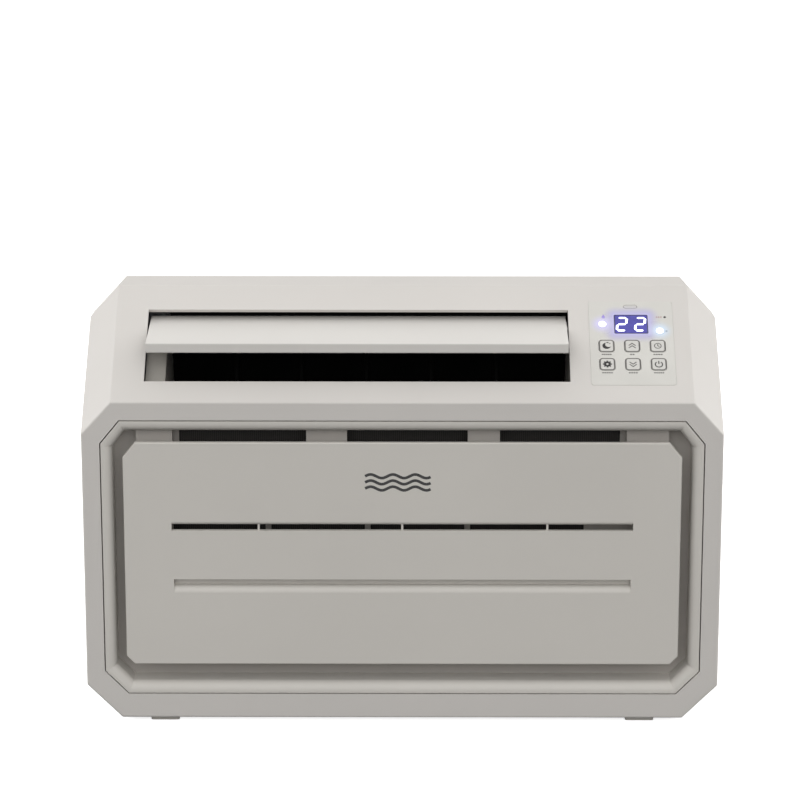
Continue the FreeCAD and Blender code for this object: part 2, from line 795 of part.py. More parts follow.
def vane_rails():
    """Two bars fixed between the cheeks with a bearing hole for every vane pin."""
    ends = ("cheek_inner_left + 0.2", "cheek_inner_right - 0.2")
    lower = vane_box("rail_lower", (ends[0], "-3", "-vane_below - 10"), (ends[1], "3", "-vane_below - 6"))
    upper = vane_box("rail_upper", (ends[0], "-3", "vane_above + 1"), (ends[1], "3", "vane_above + 5"))
    holes = [vane_rod(f"rail_hole_{index}", "vane_pin + 0.4", (vane_x(index), "0", "-vane_below - 12"),
                      "vane_below + vane_above + 20") for index in VANES]
    return cut("vane_rails", group("rail_bars", lower, upper), *holes)


def vane_link():
    """Bar with one slot for every crank pin; it makes the vanes turn together."""
    bar = vane_box("link_bar", (f"{vane_x(0)} - 8", "crank_reach - 3.6", "-vane_below - 4"),
                   (f"{vane_x(4)} + 8", "crank_reach + 3", "-vane_below - 2.2"))
    slots = []
    for index in VANES:
        left, right = f"{vane_x(index)} - 1.7", f"{vane_x(index)} + 1.7"
        slots.append(vane_box(f"link_slot_{index}", (left, "crank_reach - 2.8", "-vane_below - 6"),
                              (right, "crank_reach + 1.8", "-vane_below")))
    return cut("vane_link", bar, *slots)


# ---------------------------------------------------------------- air section

def wall_strip(name, path, skin, start, length):
    """A bent sheet of even thickness whose outer side follows path in the side view."""
    points = [FreeCAD.Vector(0, y, z) for y, z in path]
    normals = []
    for first, last in zip(points, points[1:]):
        step = (last - first).normalize()
        normals.append(FreeCAD.Vector(0, -step.z, step.y))
    inner = []
    for index, point in enumerate(points):
        before = normals[max(index - 1, 0)]
        after = normals[min(index, len(normals) - 1)]
        middle = before + after
        inner.append(point + middle * (skin / (1 + before.dot(after))))
    wire = Part.makePolygon(points + inner[::-1] + [points[0]])
    solid = Part.Face(wire).extrude(FreeCAD.Vector(length, 0, 0))
    solid.translate(FreeCAD.Vector(start, 0, 0))
    return feature(name, solid)


def air_duct():
    """Front wall with the cut-off edge and curved back wall around the blower wheel."""
    start = number("cheek_inner_left") + 0.2
    length = number("cheek_inner_right") - 0.2 - start
    skin = number("duct_skin")
    front = wall_strip("duct_front", [(-151, 237), (-140, 220), (-109, 209.5)], -skin, start, length)
    back_path = [(-56, 160), (-53.2, 188), (-54.2, 212), (-60, 234), (-74, 251), (-75, 264), (-84.5, 279)]
    back = wall_strip("duct_back", back_path,
                      skin, start, length)
    return group("air_duct", front, back)


def cheek_outline():
    return [(-148.6, 235), (-106.4, 262.2), (-97.2, 264.5), (-92.6, 262.7), (-76, 258), (-76, 250),
            (-61, 232), (-54, 212), (-52.9, 150), (-114, 150), (-114, 209), (-141, 218)]


def duct_cheeks():
    """Side walls of the duct; the left one is a thick block that holds both left bearings."""
    left = prism("cheek_left_block", "side", [cheek_outline()], "outlet_left + 0.2",
                 "cheek_inner_left - outlet_left - 0.2")
    right = prism("cheek_right_plate", "side", [cheek_outline()], "cheek_inner_right", "cheek_right_thick")
    bearing_seat = rod("bearing_seat", "9.2", ("outlet_left - 1", "wheel_y", "wheel_z"), "20", "x")
    shaft_hole = rod("shaft_hole", "12", ("cheek_inner_right - 1", "wheel_y", "wheel_z"), "8", "x")
    flap_hole_left = rod("flap_hole_left", "flap_pin + 0.4", ("outlet_left - 1", PIVOT_Y, PIVOT_Z), "20", "x")
    flap_hole_right = rod("flap_hole_right", "flap_pin + 0.4",
                          ("cheek_inner_right - 1", PIVOT_Y, PIVOT_Z), "8", "x")
    return group("duct_cheeks", cut("cheek_left", left, bearing_seat, flap_hole_left),
                 cut("cheek_right", right, shaft_hole, flap_hole_right))


def blower_wheel():
    """Cross-flow wheel: rings joined by many curved blades, with a shaft at both ends."""
    radius, left, right = number("wheel_radius"), number("wheel_left"), number("wheel_right")
    axis = FreeCAD.Vector(1, 0, 0)
    pieces = []
    for index in range(6):
        x = left + (right - left - 2) * index / 5
        ring = Part.makeCylinder(radius, 2, FreeCAD.Vector(x, 0, 0), axis)
        if 0 < index < 5:
            ring = ring.cut(Part.makeCylinder(radius - 9, 2, FreeCAD.Vector(x, 0, 0), axis))
        pieces.append(ring)
    blades = 22
    for index in range(blades):
        blade = Part.makeBox(right - left - 0.4, 0.9, 7.4, FreeCAD.Vector(left + 0.2, -0.45, -3.7))
        blade.rotate(FreeCAD.Vector(), axis, 28)
        blade.translate(FreeCAD.Vector(0, 0, radius - 4.6))
        blade.rotate(FreeCAD.Vector(), axis, 360 / blades * index)
        pieces.append(blade)
    pieces.append(Part.makeCylinder(3, 12, FreeCAD.Vector(left - 11.5, 0, 0), axis))
    pieces.append(Part.makeCylinder(3, 20, FreeCAD.Vector(right - 0.5, 0, 0), axis))
    pieces.append(Part.makeCylinder(8, 5, FreeCAD.Vector(right - 0.5, 0, 0), axis))
    wheel = pieces[0].multiFuse(pieces[1:])
    thing = feature("blower_wheel", wheel)
    thing.Placement = FreeCAD.Placement(vector(0, "wheel_y", "wheel_z"), FreeCAD.Rotation())
    return thing


def blower_bearing():
    """Rubber bush around the left end of the wheel shaft."""
    bush = rod("bush_body", "9", ("cheek_inner_left - 9", "wheel_y", "wheel_z"), "9", "x")
    bore = rod("bush_bore", "3.4", ("cheek_inner_left - 10", "wheel_y", "wheel_z"), "12", "x")
    return cut("blower_bearing", bush, bore)


def blower_motor():
    """Round motor on the right of the duct."""
    start = "wheel_right + 14"
    case = rod("blower_motor_case", "27", (start, "wheel_y", "wheel_z"), "38", "x")
    nose = rod("blower_motor_nose", "11",
               ("cheek_inner_right + cheek_right_thick + 0.6", "wheel_y", "wheel_z"), "8", "x")
    foot = box("blower_motor_foot", ("wheel_right + 20", "wheel_y - 20", "wheel_z - 32"),
               ("wheel_right + 46", "wheel_y + 20", "wheel_z - 20"))
    bore = rod("blower_motor_bore", "3.4", ("wheel_right", "wheel_y", "wheel_z"), "24", "x")
    return cut("blower_motor", fuse("blower_motor_body", case, nose, foot), bore)


def coil_rows(low, high, count):
    pitch = (high - low) / (count - 1)
    return [low + pitch * index for index in range(count)]


def fin_pack(name, left, right, front, back, low, high, rows):
    """Thin upright plates with holes for the tubes."""
    centre_y = (front + back) / 2
    thick, pitch = number("coil_fin"), number("fin_pitch")
    hole = number("tube_radius") + 0.3
    plate = Part.makeBox(thick, back - front, high - low, FreeCAD.Vector(left, front, low))
    for z in rows:
        start = FreeCAD.Vector(left - 1, centre_y, z)
        plate = plate.cut(Part.makeCylinder(hole, 3, start, FreeCAD.Vector(1, 0, 0)))
    count = int((right - left) / pitch) + 1
    plates = []
    for index in range(count):
        copy = plate.copy()
        copy.translate(FreeCAD.Vector(index * pitch, 0, 0))
        plates.append(copy)
    return feature(name, Part.makeCompound(plates))


def bent_path(points, bend):
    """Straight runs joined by arcs of one bend radius."""
    edges = []
    start = points[0]
    for before, corner, after in zip(points, points[1:], points[2:]):
        into = (corner - before).normalize()
        out = (after - corner).normalize()
        angle = into.getAngle(out)
        reach = bend * math.tan(angle / 2)
        first, last = corner - into * reach, corner + out * reach
        bisector = (out - into).normalize()
        middle = corner + bisector * (bend / math.cos(angle / 2) - bend)
        if (first - start).Length > 0.01:
            edges.append(Part.LineSegment(start, first).toShape())
        edges.append(Part.Arc(first, middle, last).toShape())
        start = last
    if (points[-1] - start).Length > 0.01:
        edges.append(Part.LineSegment(start, points[-1]).toShape())
    return Part.Wire(edges)


def pipe(points, radius, bend):
    vectors = [FreeCAD.Vector(*point) for point in points]
    path = bent_path(vectors, bend)
    ring = Part.Wire(Part.Circle(vectors[0], vectors[1] - vectors[0], radius).toShape())
    return path.makePipeShell([ring], True, False)


def coil(left, right, y, rows):
    """One tube that runs to and fro through every row."""
    points = []
    for index, z in enumerate(rows):
        ends = (left, right) if index % 2 == 0 else (right, left)
        points += [(end, y, z) for end in ends]
    bend = (rows[1] - rows[0]) / 2
    return pipe(points, number("tube_radius"), bend)


EVAPORATOR_ROWS = coil_rows(40, 194, 8)
CONDENSER_ROWS = coil_rows(32, 200, 8)


def evaporator_fins():
    return fin_pack("evaporator_fins", -172, 92, number("evaporator_front"), number("evaporator_back"),
                    28, 205, EVAPORATOR_ROWS)


def evaporator_tubes():
    y = (number("evaporator_front") + number("evaporator_back")) / 2
    return feature("evaporator_tubes", coil(110, -188, y, EVAPORATOR_ROWS))


def condenser_fins():
    return fin_pack("condenser_fins", -178, 178, number("condenser_front"), number("condenser_back"),
                    22, 212, CONDENSER_ROWS)


def condenser_tubes():
    y = (number("condenser_front") + number("condenser_back")) / 2
    return feature("condenser_tubes", coil(190, -190, y, CONDENSER_ROWS))


def drip_tray():
    """Shallow tray under the evaporator with a spout through the bulkhead."""
    block = box("tray_block", ("-192", "-147", "9"), ("114", "-56", "25"))
    hollow = box("tray_hollow", ("-190", "-145", "11"), ("112", "-58", "30"))
    spout = rod("tray_spout", "4", ("-120", "-57", "16"), "26", "y")
    bore = rod("tray_bore", "2.6", ("-120", "-60", "16"), "40", "y")
    return cut("drip_tray", fuse("tray_body", cut("tray_open", block, hollow), spout), bore)


def partition():
    """Upright wall between the air section and the control compartment."""
    wall = box("partition_wall", ("partition_x", "-145", "9"), ("partition_x + 1.6", "-54", "138"))
    return soften("partition", wall, "1", lambda edge: is_along(edge, FreeCAD.Vector(1, 0, 0)))


# ---------------------------------------------------------------- controls

def control_film():
    """Thin printed film with openings for keys, window and lenses."""
    blank = round_slab("film_blank", "film_x", "film_along", "film_width", "film_height",
                        "-film_seat", "film_proud", "film_corner")
    return cut("control_film", blank, *control_openings(low="-3", high="2", prefix="film"))


def display_window():
    return round_slab("display_window", "film_x", "(film_along + display_along)", "display_width",
                      "display_height", "-2.6", "film_proud", "1")


def status_lenses():
    """Two round light lenses and the remote receiver window."""
    lenses = [slope_rod(name, "lens_radius", (x, along, "-2.6"), "2.6 + film_proud")
              for name, (x, along) in LENSES.items()]
    receiver = round_slab("receiver_lens", "film_x", "(film_along + 34.1)", "9", "3",
                          "-2.6", "film_proud", "1.45")
    return group("status_lenses", *lenses, receiver)


def key(name, column, row):
    """Push key with a retaining flange and a stem above its switch."""
    x, along = key_centre(column, row)
    cap = round_slab(name + "_cap", f"({x})", f"({along})", "key_width", "key_height",
                     "-4", "key_proud", "key_corner")
    flange = slope_box(name + "_flange",
                       (f"{x} - key_width / 2 - 1.2", f"{along} - key_height / 2 - 1.2", "-4.4"),
                       (f"{x} + key_width / 2 + 1.2", f"{along} + key_height / 2 + 1.2", "-3.3"))
    stem = slope_rod(name + "_stem", "1.8", (x, along, "-6"), "3")
    return fuse(name, cap, flange, stem)


def key_switches():
    switches = []
    for name, place in KEYS.items():
        x, along = key_centre(*place)
        switches.append(slope_box(name + "_switch", (f"{x} - 3", f"{along} - 3", "-board_under + 1.6"),
                                  (f"{x} + 3", f"{along} + 3", "-board_under + 2.8")))
    return group("key_switches", *switches)


def display_board():
    board = slope_box("board_blank", ("film_x - 28", "film_along - 38", "-board_under"),
                      ("film_x + 28", "film_along + 38", "-board_under + 1.6"))
    holes = [slope_rod(f"board_hole_{index}", "1.4", (x, along, "-board_under - 1"), "4")
             for index, (x, along) in enumerate(board_corners())]
    return cut("display_board", board, *holes)


def display_module():
    """Two-digit display and the light emitters behind the lenses."""
    block = slope_box("digit_block",
                      ("film_x - 12.5", "film_along + display_along - 9.4", "-board_under + 1.6"),
                      ("film_x + 12.5", "film_along + display_along + 9.4", "-2.9"))
    lamps = [slope_rod(name + "_lamp", "2", (x, along, "-board_under + 1.6"), "4.4")
             for name, (x, along) in LENSES.items()]
    return group("display_module", block, *lamps)


def control_box():
    """Sheet metal box that holds the mains board, the capacitor and the transformer."""
    outer = box("control_box_outer", ("126", "-140", "12"), ("194", "-60", "140"))
    inner = box("control_box_inner", ("127.2", "-142", "13.2"), ("192.8", "-61.2", "138.8"))
    entry = rod("control_box_entry", "8", ("165", "-64", "40"), "8", "y")
    return cut("control_box", outer, inner, entry)


def control_box_lid():
    return box("control_box_lid", ("126", "-141.4", "12"), ("194", "-140.2", "140"))


def main_board():
    board = box("main_board_plate", ("130", "-68", "54"), ("190", "-66.4", "134"))
    relay = box("main_board_relay", ("136", "-84", "60"), ("156", "-68", "82"))
    chip = box("main_board_chip", ("166", "-72", "64"), ("184", "-68", "76"))
    sockets = [box(f"main_board_socket_{index}", (f"{136 + 16 * index}", "-78", "118"),
                   (f"{146 + 16 * index}", "-68", "128")) for index in range(3)]
    return fuse("main_board", board, relay, chip, *sockets)


def run_capacitor():
    can = rod("capacitor_can", "14", ("175", "-108", "13.4"), "66")
    soft = soften("capacitor_soft", can, "3", lambda edge: True)
    tabs = [box(f"capacitor_tab_{x}", (f"{x}", "-111", "79"), (f"{x} + 1", "-105", "88")) for x in (170, 179)]
    return fuse("run_capacitor", soft, *tabs)


def transformer():
    core = box("transformer_core", ("131", "-130", "13.4"), ("156", "-98", "44"))
    coil_block = box("transformer_coil", ("129", "-123", "18"), ("158.4", "-105", "39"))
    return fuse("transformer", core, coil_block)


# ---------------------------------------------------------------- rear chassis

def bulkhead():
    """Wall that closes the back of the front housing; pipes, drain and cord pass through it."""
    gap = "wall + bulkhead_gap"
    drawn_in = f"({HOUSING_BACK} - {CREST_Y}) * tan(rear_taper * 1 deg)"
    corner_drop = f"({drawn_in}) * {TOP_CORNER_HEIGHT} / slope_corner"
    outline = mirrored([
        (f"unit_width / 2 - bottom_corner - 0.42 * ({gap})", f"{BOTTOM} + {gap}"),
        (f"unit_width / 2 - ({gap})", f"{BOTTOM} + bottom_corner + 0.42 * ({gap})"),
        (f"unit_width / 2 - ({gap})", f"{TOP} - {TOP_CORNER_HEIGHT} - 0.42 * ({gap}) - {corner_drop}"),
        (f"unit_width / 2 - slope_corner - 0.42 * ({gap}) - {drawn_in}", f"{TOP} - ({gap})"),
    ])
    plate = prism("bulkhead_plate", "front", [outline], f"{HOUSING_BACK} - 1.6", "1.6")
    holes = [
        rod("drain_pass", "4.6", ("-120", "-60", "16"), "20", "y"),
        rod("suction_pass", "6", ("124", "-60", "147"), "20", "y"),
        rod("capillary_pass", "3", ("116", "-60", "40"), "20", "y"),
        rod("cord_pass", "8", ("165", "-60", "40"), "20", "y"),
    ]
    return cut("bulkhead", plate, *holes)


CHASSIS_FRONT = f"({HOUSING_BACK} + 0.3)"
TAB_HOLES = [(side, y) for side in (-1, 1) for y in ("tab_front_y", "tab_rear_y")]


def base_pan():
    """Folded steel pan with four side tabs for fixing screws."""
    low = ("-sleeve_half + sheet + 0.4", CHASSIS_FRONT, "sleeve_low")
    high = ("sleeve_half - sheet - 0.4", f"{REAR} - 4", "sleeve_low + pan_lip")
    outer = box("pan_outer", low, high)
    inner = box("pan_inner", (f"{low[0]} + sheet", f"{low[1]} + sheet", "sleeve_low + sheet"),
                (f"{high[0]} - sheet", f"{high[1]} - sheet", "sleeve_low + 40"))
    tabs = []
    for index, (side, y) in enumerate(TAB_HOLES):
        left, right = sorted((-14 * side, 7 * side))
        tabs.append(box(f"pan_tab_{index}", (f"{side} * tab_hole_x + {left}", f"{y} - 14", "sleeve_low"),
                        (f"{side} * tab_hole_x + {right}", f"{y} + 14", "sleeve_low + 2")))
    holes = [rod(f"pan_hole_{index}", "tab_hole", (f"{side} * tab_hole_x", y, "sleeve_low - 1"), "6")
             for index, (side, y) in enumerate(TAB_HOLES)]
    drain = rod("pan_drain", "6", ("-150", "60", "sleeve_low - 1"), "6")
    spout_hole = rod("pan_spout_hole", "4.6", ("-120", "-60", "16"), "20", "y")
    return cut("base_pan", fuse("pan_body", cut("pan_open", outer, inner), *tabs), *holes, drain, spout_hole)


def sleeve_cover():
    """Folded steel cover with side and top air slots."""
    outer = box("cover_outer", ("-sleeve_half", CHASSIS_FRONT, "sleeve_low + 3"),
                ("sleeve_half", f"{REAR} - 3.4", "sleeve_high"))
    inner = box("cover_inner", ("-sleeve_half + sheet", "-60", "-5"),
                ("sleeve_half - sheet", "200", "sleeve_high - sheet"))
    slots = []
    for row in range(9):
        z = 70 + row * 14
        slots.append(box(f"side_slot_{row}", ("-230", "30", f"{z}"), ("230", "110", f"{z + 5}")))
    for column in range(10):
        x = -135 + column * 30
        slots.append(box(f"top_slot_{column}", (f"{x}", "30", "200"), (f"{x + 6}", "110", "260")))
    gland_hole = rod("cover_gland_hole", "7.4", ("sleeve_half - 20", GLAND_Y, GLAND_Z), "40", "x")
    return cut("sleeve_cover", outer, inner, gland_hole, *slots)


def rear_grille():
    """Frame with bars over the condenser."""
    outer = box("rear_outer", ("-sleeve_half", f"{REAR} - 3", "sleeve_low + 1"),
                ("sleeve_half", REAR, "sleeve_high"))
    inner = box("rear_inner", ("-sleeve_half + 10", f"{REAR} - 6", "sleeve_low + 12"),
                ("sleeve_half - 10", f"{REAR} + 2", "sleeve_high - 10"))
    bars = [box(f"rear_bar_{row}", ("-sleeve_half + 9", f"{REAR} - 2.6", f"{28 + 10 * row}"),
                ("sleeve_half - 9", f"{REAR} - 0.4", f"{30.4 + 10 * row}")) for row in range(19)]
    posts = [box(f"rear_post_{column}", (f"{-128 + 64 * column}", f"{REAR} - 3", "sleeve_low + 11"),
                 (f"{-125 + 64 * column}", f"{REAR} - 0.8", "sleeve_high - 9")) for column in range(5)]
    return fuse("rear_grille", cut("rear_frame", outer, inner), *bars, *posts)


def fan_shroud():
    """Plate with a round mouth that leads the fan air into the condenser."""
    plate = box("shroud_plate", ("-186", "126", "sleeve_low + 3"), ("178", "127.6", "212"))
    ring = rod("shroud_ring", "fan_radius + 6", ("fan_x", "106", "fan_z"), "21", "y")
    mouth = rod("shroud_mouth", "fan_radius + 4", ("fan_x", "100", "fan_z"), "40", "y")
    return cut("fan_shroud", fuse("shroud_body", plate, ring), mouth)


def condenser_fan():
    """Five-bladed axial fan with its shaft."""
    radius = number("fan_radius")
    axis = FreeCAD.Vector(0, 1, 0)
    hub = Part.makeCylinder(24, 20, FreeCAD.Vector(0, 100, 0), axis)
    shaft = Part.makeCylinder(4, 31, FreeCAD.Vector(0, 70, 0), axis)
    pieces = [hub, shaft]
    for index in range(5):
        blade = fan_blade(22, radius)
        blade.rotate(FreeCAD.Vector(), axis, 72 * index)
        pieces.append(blade.common(Part.makeCylinder(radius, 60, FreeCAD.Vector(0, 80, 0), axis)))
    thing = feature("condenser_fan", pieces[0].multiFuse(pieces[1:]))
    thing.Placement = FreeCAD.Placement(vector("fan_x", 0, "fan_z"), FreeCAD.Rotation())
    return thing


def fan_blade(inner, outer):
    """A blade lofted from a steep root to a flat wide tip."""
    sections = []
    for reach, chord, angle in ((inner, 26, 38), ((inner + outer) / 2, 44, 28), (outer, 58, 20)):
        wire = Part.makePolygon([FreeCAD.Vector(-chord / 2, -0.8, 0), FreeCAD.Vector(chord / 2, -0.8, 0),
                                 FreeCAD.Vector(chord / 2, 0.8, 0), FreeCAD.Vector(-chord / 2, 0.8, 0),
                                 FreeCAD.Vector(-chord / 2, -0.8, 0)])
        wire.rotate(FreeCAD.Vector(), FreeCAD.Vector(0, 0, 1), angle)
        wire.translate(FreeCAD.Vector(0, 110, reach))
        sections.append(wire)
    return Part.makeLoft(sections, True)


def fan_motor():
    case = rod("fan_motor_case", "36", ("fan_x", "20", "fan_z"), "58", "y")
    soft = soften("fan_motor_soft", case, "4", lambda edge: edge.Length > 50)
    nose = rod("fan_motor_nose", "10", ("fan_x", "70", "fan_z"), "16", "y")
    bore = rod("fan_motor_bore", "4.4", ("fan_x", "64", "fan_z"), "30", "y")
    return cut("fan_motor", fuse("fan_motor_body", soft, nose), bore)


def fan_bracket():
    """Bent steel stand between the pan and the fan motor."""
    corner = ("fan_x - 40", "17", "sleeve_low + sheet + 0.1")
    upright = box("bracket_upright", corner, ("fan_x + 40", "19.6", "fan_z + 40"))
    foot = box("bracket_foot", corner, ("fan_x + 40", "60", "sleeve_low + sheet + 2.6"))
    return fuse("fan_bracket", upright, foot)


def compressor():
    """Welded steel shell on a square foot plate."""
    shell = rod("compressor_shell", "compressor_radius",
                ("compressor_x", "compressor_y", "compressor_low"), "compressor_height")
    domed = soften("compressor_domed", shell, "24", lambda edge: edge.Length > 50)
    foot = box("compressor_foot", ("compressor_x - 58", "compressor_y - 58", "compressor_low - 3"),
               ("compressor_x + 58", "compressor_y + 58", "compressor_low"))
    stand = rod("compressor_stand", "34", ("compressor_x", "compressor_y", "compressor_low - 2"), "14")
    holes = [rod(f"compressor_hole_{index}", "5.4", (x, y, "10"), "30")
             for index, (x, y) in enumerate(mount_places())]
    return cut("compressor", fuse("compressor_body", domed, foot, stand), *holes)


def mount_places():
    return [(f"compressor_x + {side} * 48", f"compressor_y + {end} * 48")
            for side in (-1, 1) for end in (-1, 1)]


def compressor_mounts():
    """Rubber grommets with a steel pin each."""
    mounts = []
    for index, (x, y) in enumerate(mount_places()):
        lower = rod(f"mount_lower_{index}", "9", (x, y, "sleeve_low + sheet + 0.1"),
                    "compressor_low - 3 - sleeve_low - sheet - 0.2")
        neck = rod(f"mount_neck_{index}", "5", (x, y, "compressor_low - 4"), "5")
        upper = rod(f"mount_upper_{index}", "8", (x, y, "compressor_low + 0.2"), "4")
        mounts.append(fuse(f"mount_{index}", lower, neck, upper))
    return group("compressor_mounts", *mounts)


def terminal_cover():
    low = ("compressor_x + 12", "compressor_y - 16", "compressor_low + compressor_height + 0.3")
    high = ("compressor_x + 42", "compressor_y + 16", "compressor_low + compressor_height + 14")
    block = box("terminal_block", low, high)
    return soften("terminal_cover", block, "3", lambda edge: is_along(edge, FreeCAD.Vector(0, 0, 1)))


def accumulator():
    """Upright suction vessel beside the compressor."""
    can = rod("accumulator_can", "16", ("48", "44", "50"), "110")
    return soften("accumulator", can, "8", lambda edge: edge.Length > 50)


def refrigerant_pipes():
    """Suction line, charge line, discharge line and the capillary, brazed to the coils."""
    suction = pipe([(110.6, -130, 194), (124, -130, 194), (124, -130, 147), (124, -24, 147), (124, -24, 214),
                    (48, -24, 214), (48, 44, 214), (48, 44, 160.4)], 4, 6)
    charge = pipe([(48, 44, 49.6), (48, 44, 34), (48, -4, 34), (100, -26, 34), (126, -26, 60),
                   (128, -10.4, 60)], 4, 8)
    discharge = pipe([(128, 20, 200.4), (128, 20, 220), (190, 60, 220), (190, 110, 220), (186, 146, 220),
                      (186, 146, 204.4)], 3, 8)
    return feature("refrigerant_pipes", Part.makeCompound([suction, charge, discharge, capillary()]))


def capillary():
    """Thin liquid line with a filter drier."""
    drier = Part.makeCylinder(9, 60, FreeCAD.Vector(150, 114, 80))
    inlet = pipe([(186, 141.6, 32), (186, 114, 32), (150, 114, 32), (150, 114, 81)], 2, 8)
    outlet = pipe([(150, 114, 139), (150, 114, 206), (64, 114, 206), (64, -36, 206), (64, -36, 40),
                   (116, -36, 40), (116, -130, 40), (110.6, -130, 40)], 1.6, 5)
    return drier.multiFuse([inlet, outlet])


def drain_spigot():
    """Drain stub held in the base pan from below."""
    stub = rod("spigot_stub", "5.5", ("-150", "60", "0.6"), "6")
    flange = rod("spigot_flange", "10", ("-150", "60", "6.2"), "1.7")
    neck = rod("spigot_neck", "5.2", ("-150", "60", "6.5"), "6")
    bore = rod("spigot_bore", "3.6", ("-150", "60", "-1"), "20")
    return cut("drain_spigot", fuse("spigot_body", stub, flange, neck), bore)


GLAND_Y, GLAND_Z = "-20", "190"


def cord_gland():
    """Clamping gland for the mains cord in the right side of the cover."""
    stub = rod("gland_stub", "7", ("sleeve_half - 12", GLAND_Y, GLAND_Z), "14", "x")
    flange = rod("gland_flange", "11", ("sleeve_half + 0.2", GLAND_Y, GLAND_Z), "3.2", "x")
    bore = rod("gland_bore", "4", ("sleeve_half - 20", GLAND_Y, GLAND_Z), "40", "x")
    return cut("cord_gland", fuse("gland_body", stub, flange), bore)


def foot_pads():
    """Two low feet under the housing and two taller ones under the pan."""
    blocks = []
    for side in (-1, 1):
        left, right = f"{side} * foot_half - 10", f"{side} * foot_half + 10"
        blocks.append(box(f"front_foot_{side}", (left, f"{FRONT} + 3", "0"),
                          (right, f"{FRONT} + 33", "foot_height - 0.1")))
        blocks.append(box(f"rear_foot_{side}", (left, f"{REAR} - 45", "0"),
                          (right, f"{REAR} - 15", "sleeve_low - 0.1")))
    upright = FreeCAD.Vector(0, 0, 1)
    pads = [soften(f"foot_{index}", block, "2", lambda edge: is_along(edge, upright))
            for index, block in enumerate(blocks)]
    return group("foot_pads", *pads)


def sleeve_screws():
    places = [(side, y) for side in (-1, 1) for y in (-30, 20, 130)]
    screws = []
    for index, (side, y) in enumerate(places):
        x = "sleeve_half + 0.1" if side > 0 else "-sleeve_half - 2.1"
        screws.append(rod(f"sleeve_screw_{index}", "3.2", (x, f"{y}", "18"), "2", "x"))
    return group("sleeve_screws", *screws)


def board_screws():
    screws = [slope_rod(f"board_screw_{index}", "2.4", (x, along, "-board_under - 1.7"), "1.6")
              for index, (x, along) in enumerate(board_corners())]
    return group("board_screws", *screws)


SINGLE_PARTS = [
    front_housing, grille_ring, grille_tray, grille_plate, air_filter, outlet_flap, flap_motor,
    vane_rails, vane_link,
    air_duct, duct_cheeks, blower_wheel, blower_bearing, blower_motor, evaporator_fins, evaporator_tubes,
    drip_tray, partition, control_film, display_window, status_lenses, key_switches, display_board,
    display_module, board_screws, control_box, control_box_lid, main_board, run_capacitor, transformer,
    bulkhead, base_pan, sleeve_cover, rear_grille, fan_shroud, condenser_fins, condenser_tubes,
    condenser_fan, fan_motor, fan_bracket, compressor, compressor_mounts, terminal_cover, accumulator,
    refrigerant_pipes, drain_spigot, cord_gland, foot_pads, sleeve_screws,
]


def build_parts():
    parts = [make() for make in SINGLE_PARTS]
    parts += [vane(index) for index in VANES]
    parts += [key(name, *place) for name, place in KEYS.items()]
    return parts


def check(thing):
    if any(word in thing.State for word in ("Invalid", "Error")):
        raise RuntimeError(f"{thing.Name} is {thing.State}")


def check_shape(thing):
    if thing.Shape.isNull() or not thing.Shape.isValid():
        raise RuntimeError(f"{thing.Name} has no valid shape")
    if not thing.Shape.Solids:
        raise RuntimeError(f"{thing.Name} has no solid")


def main():
    fill_sheet()
    parts = build_parts()
    doc.recompute()
    for thing in doc.Objects:
        check(thing)
    os.makedirs("parts", exist_ok=True)
    for thing in parts:
        check_shape(thing)
        thing.Shape.exportStep(f"parts/{thing.Label}.step")
        bounds = thing.Shape.BoundBox
        print(f"{thing.Label:20s} {len(thing.Shape.Solids):3d} solids  "
              f"x {bounds.XMin:.1f}..{bounds.XMax:.1f}  y {bounds.YMin:.1f}..{bounds.YMax:.1f}  "
              f"z {bounds.ZMin:.1f}..{bounds.ZMax:.1f}")


main()
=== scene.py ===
import functools
import json
import math

import bmesh
import bpy
from mathutils import Matrix, Vector


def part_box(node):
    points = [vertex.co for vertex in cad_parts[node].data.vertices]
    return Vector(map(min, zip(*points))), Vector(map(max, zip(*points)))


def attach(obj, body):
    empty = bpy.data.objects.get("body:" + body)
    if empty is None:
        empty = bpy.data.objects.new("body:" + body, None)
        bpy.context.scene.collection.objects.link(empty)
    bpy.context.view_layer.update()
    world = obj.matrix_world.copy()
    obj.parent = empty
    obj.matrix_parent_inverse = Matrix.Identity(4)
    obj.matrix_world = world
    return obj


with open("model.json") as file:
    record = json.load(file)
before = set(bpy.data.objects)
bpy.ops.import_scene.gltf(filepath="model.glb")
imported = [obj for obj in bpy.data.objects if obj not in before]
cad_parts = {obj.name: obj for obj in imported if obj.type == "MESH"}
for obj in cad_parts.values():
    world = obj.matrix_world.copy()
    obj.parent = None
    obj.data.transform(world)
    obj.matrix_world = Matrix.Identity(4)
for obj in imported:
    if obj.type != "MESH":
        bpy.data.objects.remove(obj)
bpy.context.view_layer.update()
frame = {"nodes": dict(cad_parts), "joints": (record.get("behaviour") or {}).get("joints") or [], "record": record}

MM = 0.001


# ---------------------------------------------------------------- measures read from the frame

def middle(node):
    low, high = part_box(node)
    return (Vector(low) + Vector(high)) / 2


def slope_direction():
    """Unit vectors up along the sloping top and out of it, from the travel of a key."""
    inward = next(joint for joint in frame["joints"] if joint["name"] == "key_up_press")["axis"]
    outward = -Vector(inward).normalized()
    return Vector((0, outward.z, -outward.y)), outward


ALONG, OUT = slope_direction()


def slope_frame(x, along, out):
    """Placement on the control film, in metres from the film's middle."""
    origin = middle("control_film") + Vector((x, 0, 0)) + ALONG * along + OUT * out
    return Matrix((
        (1, 0, 0, origin.x),
        (0, ALONG.y, OUT.y, origin.y),
        (0, ALONG.z, OUT.z, origin.z),
        (0, 0, 0, 1),
    ))


def film_offset(node):
    """Place of a node on the film: right of and up from the film's middle, in metres."""
    step = middle(node) - middle("control_film")
    return step.x, step.dot(ALONG)


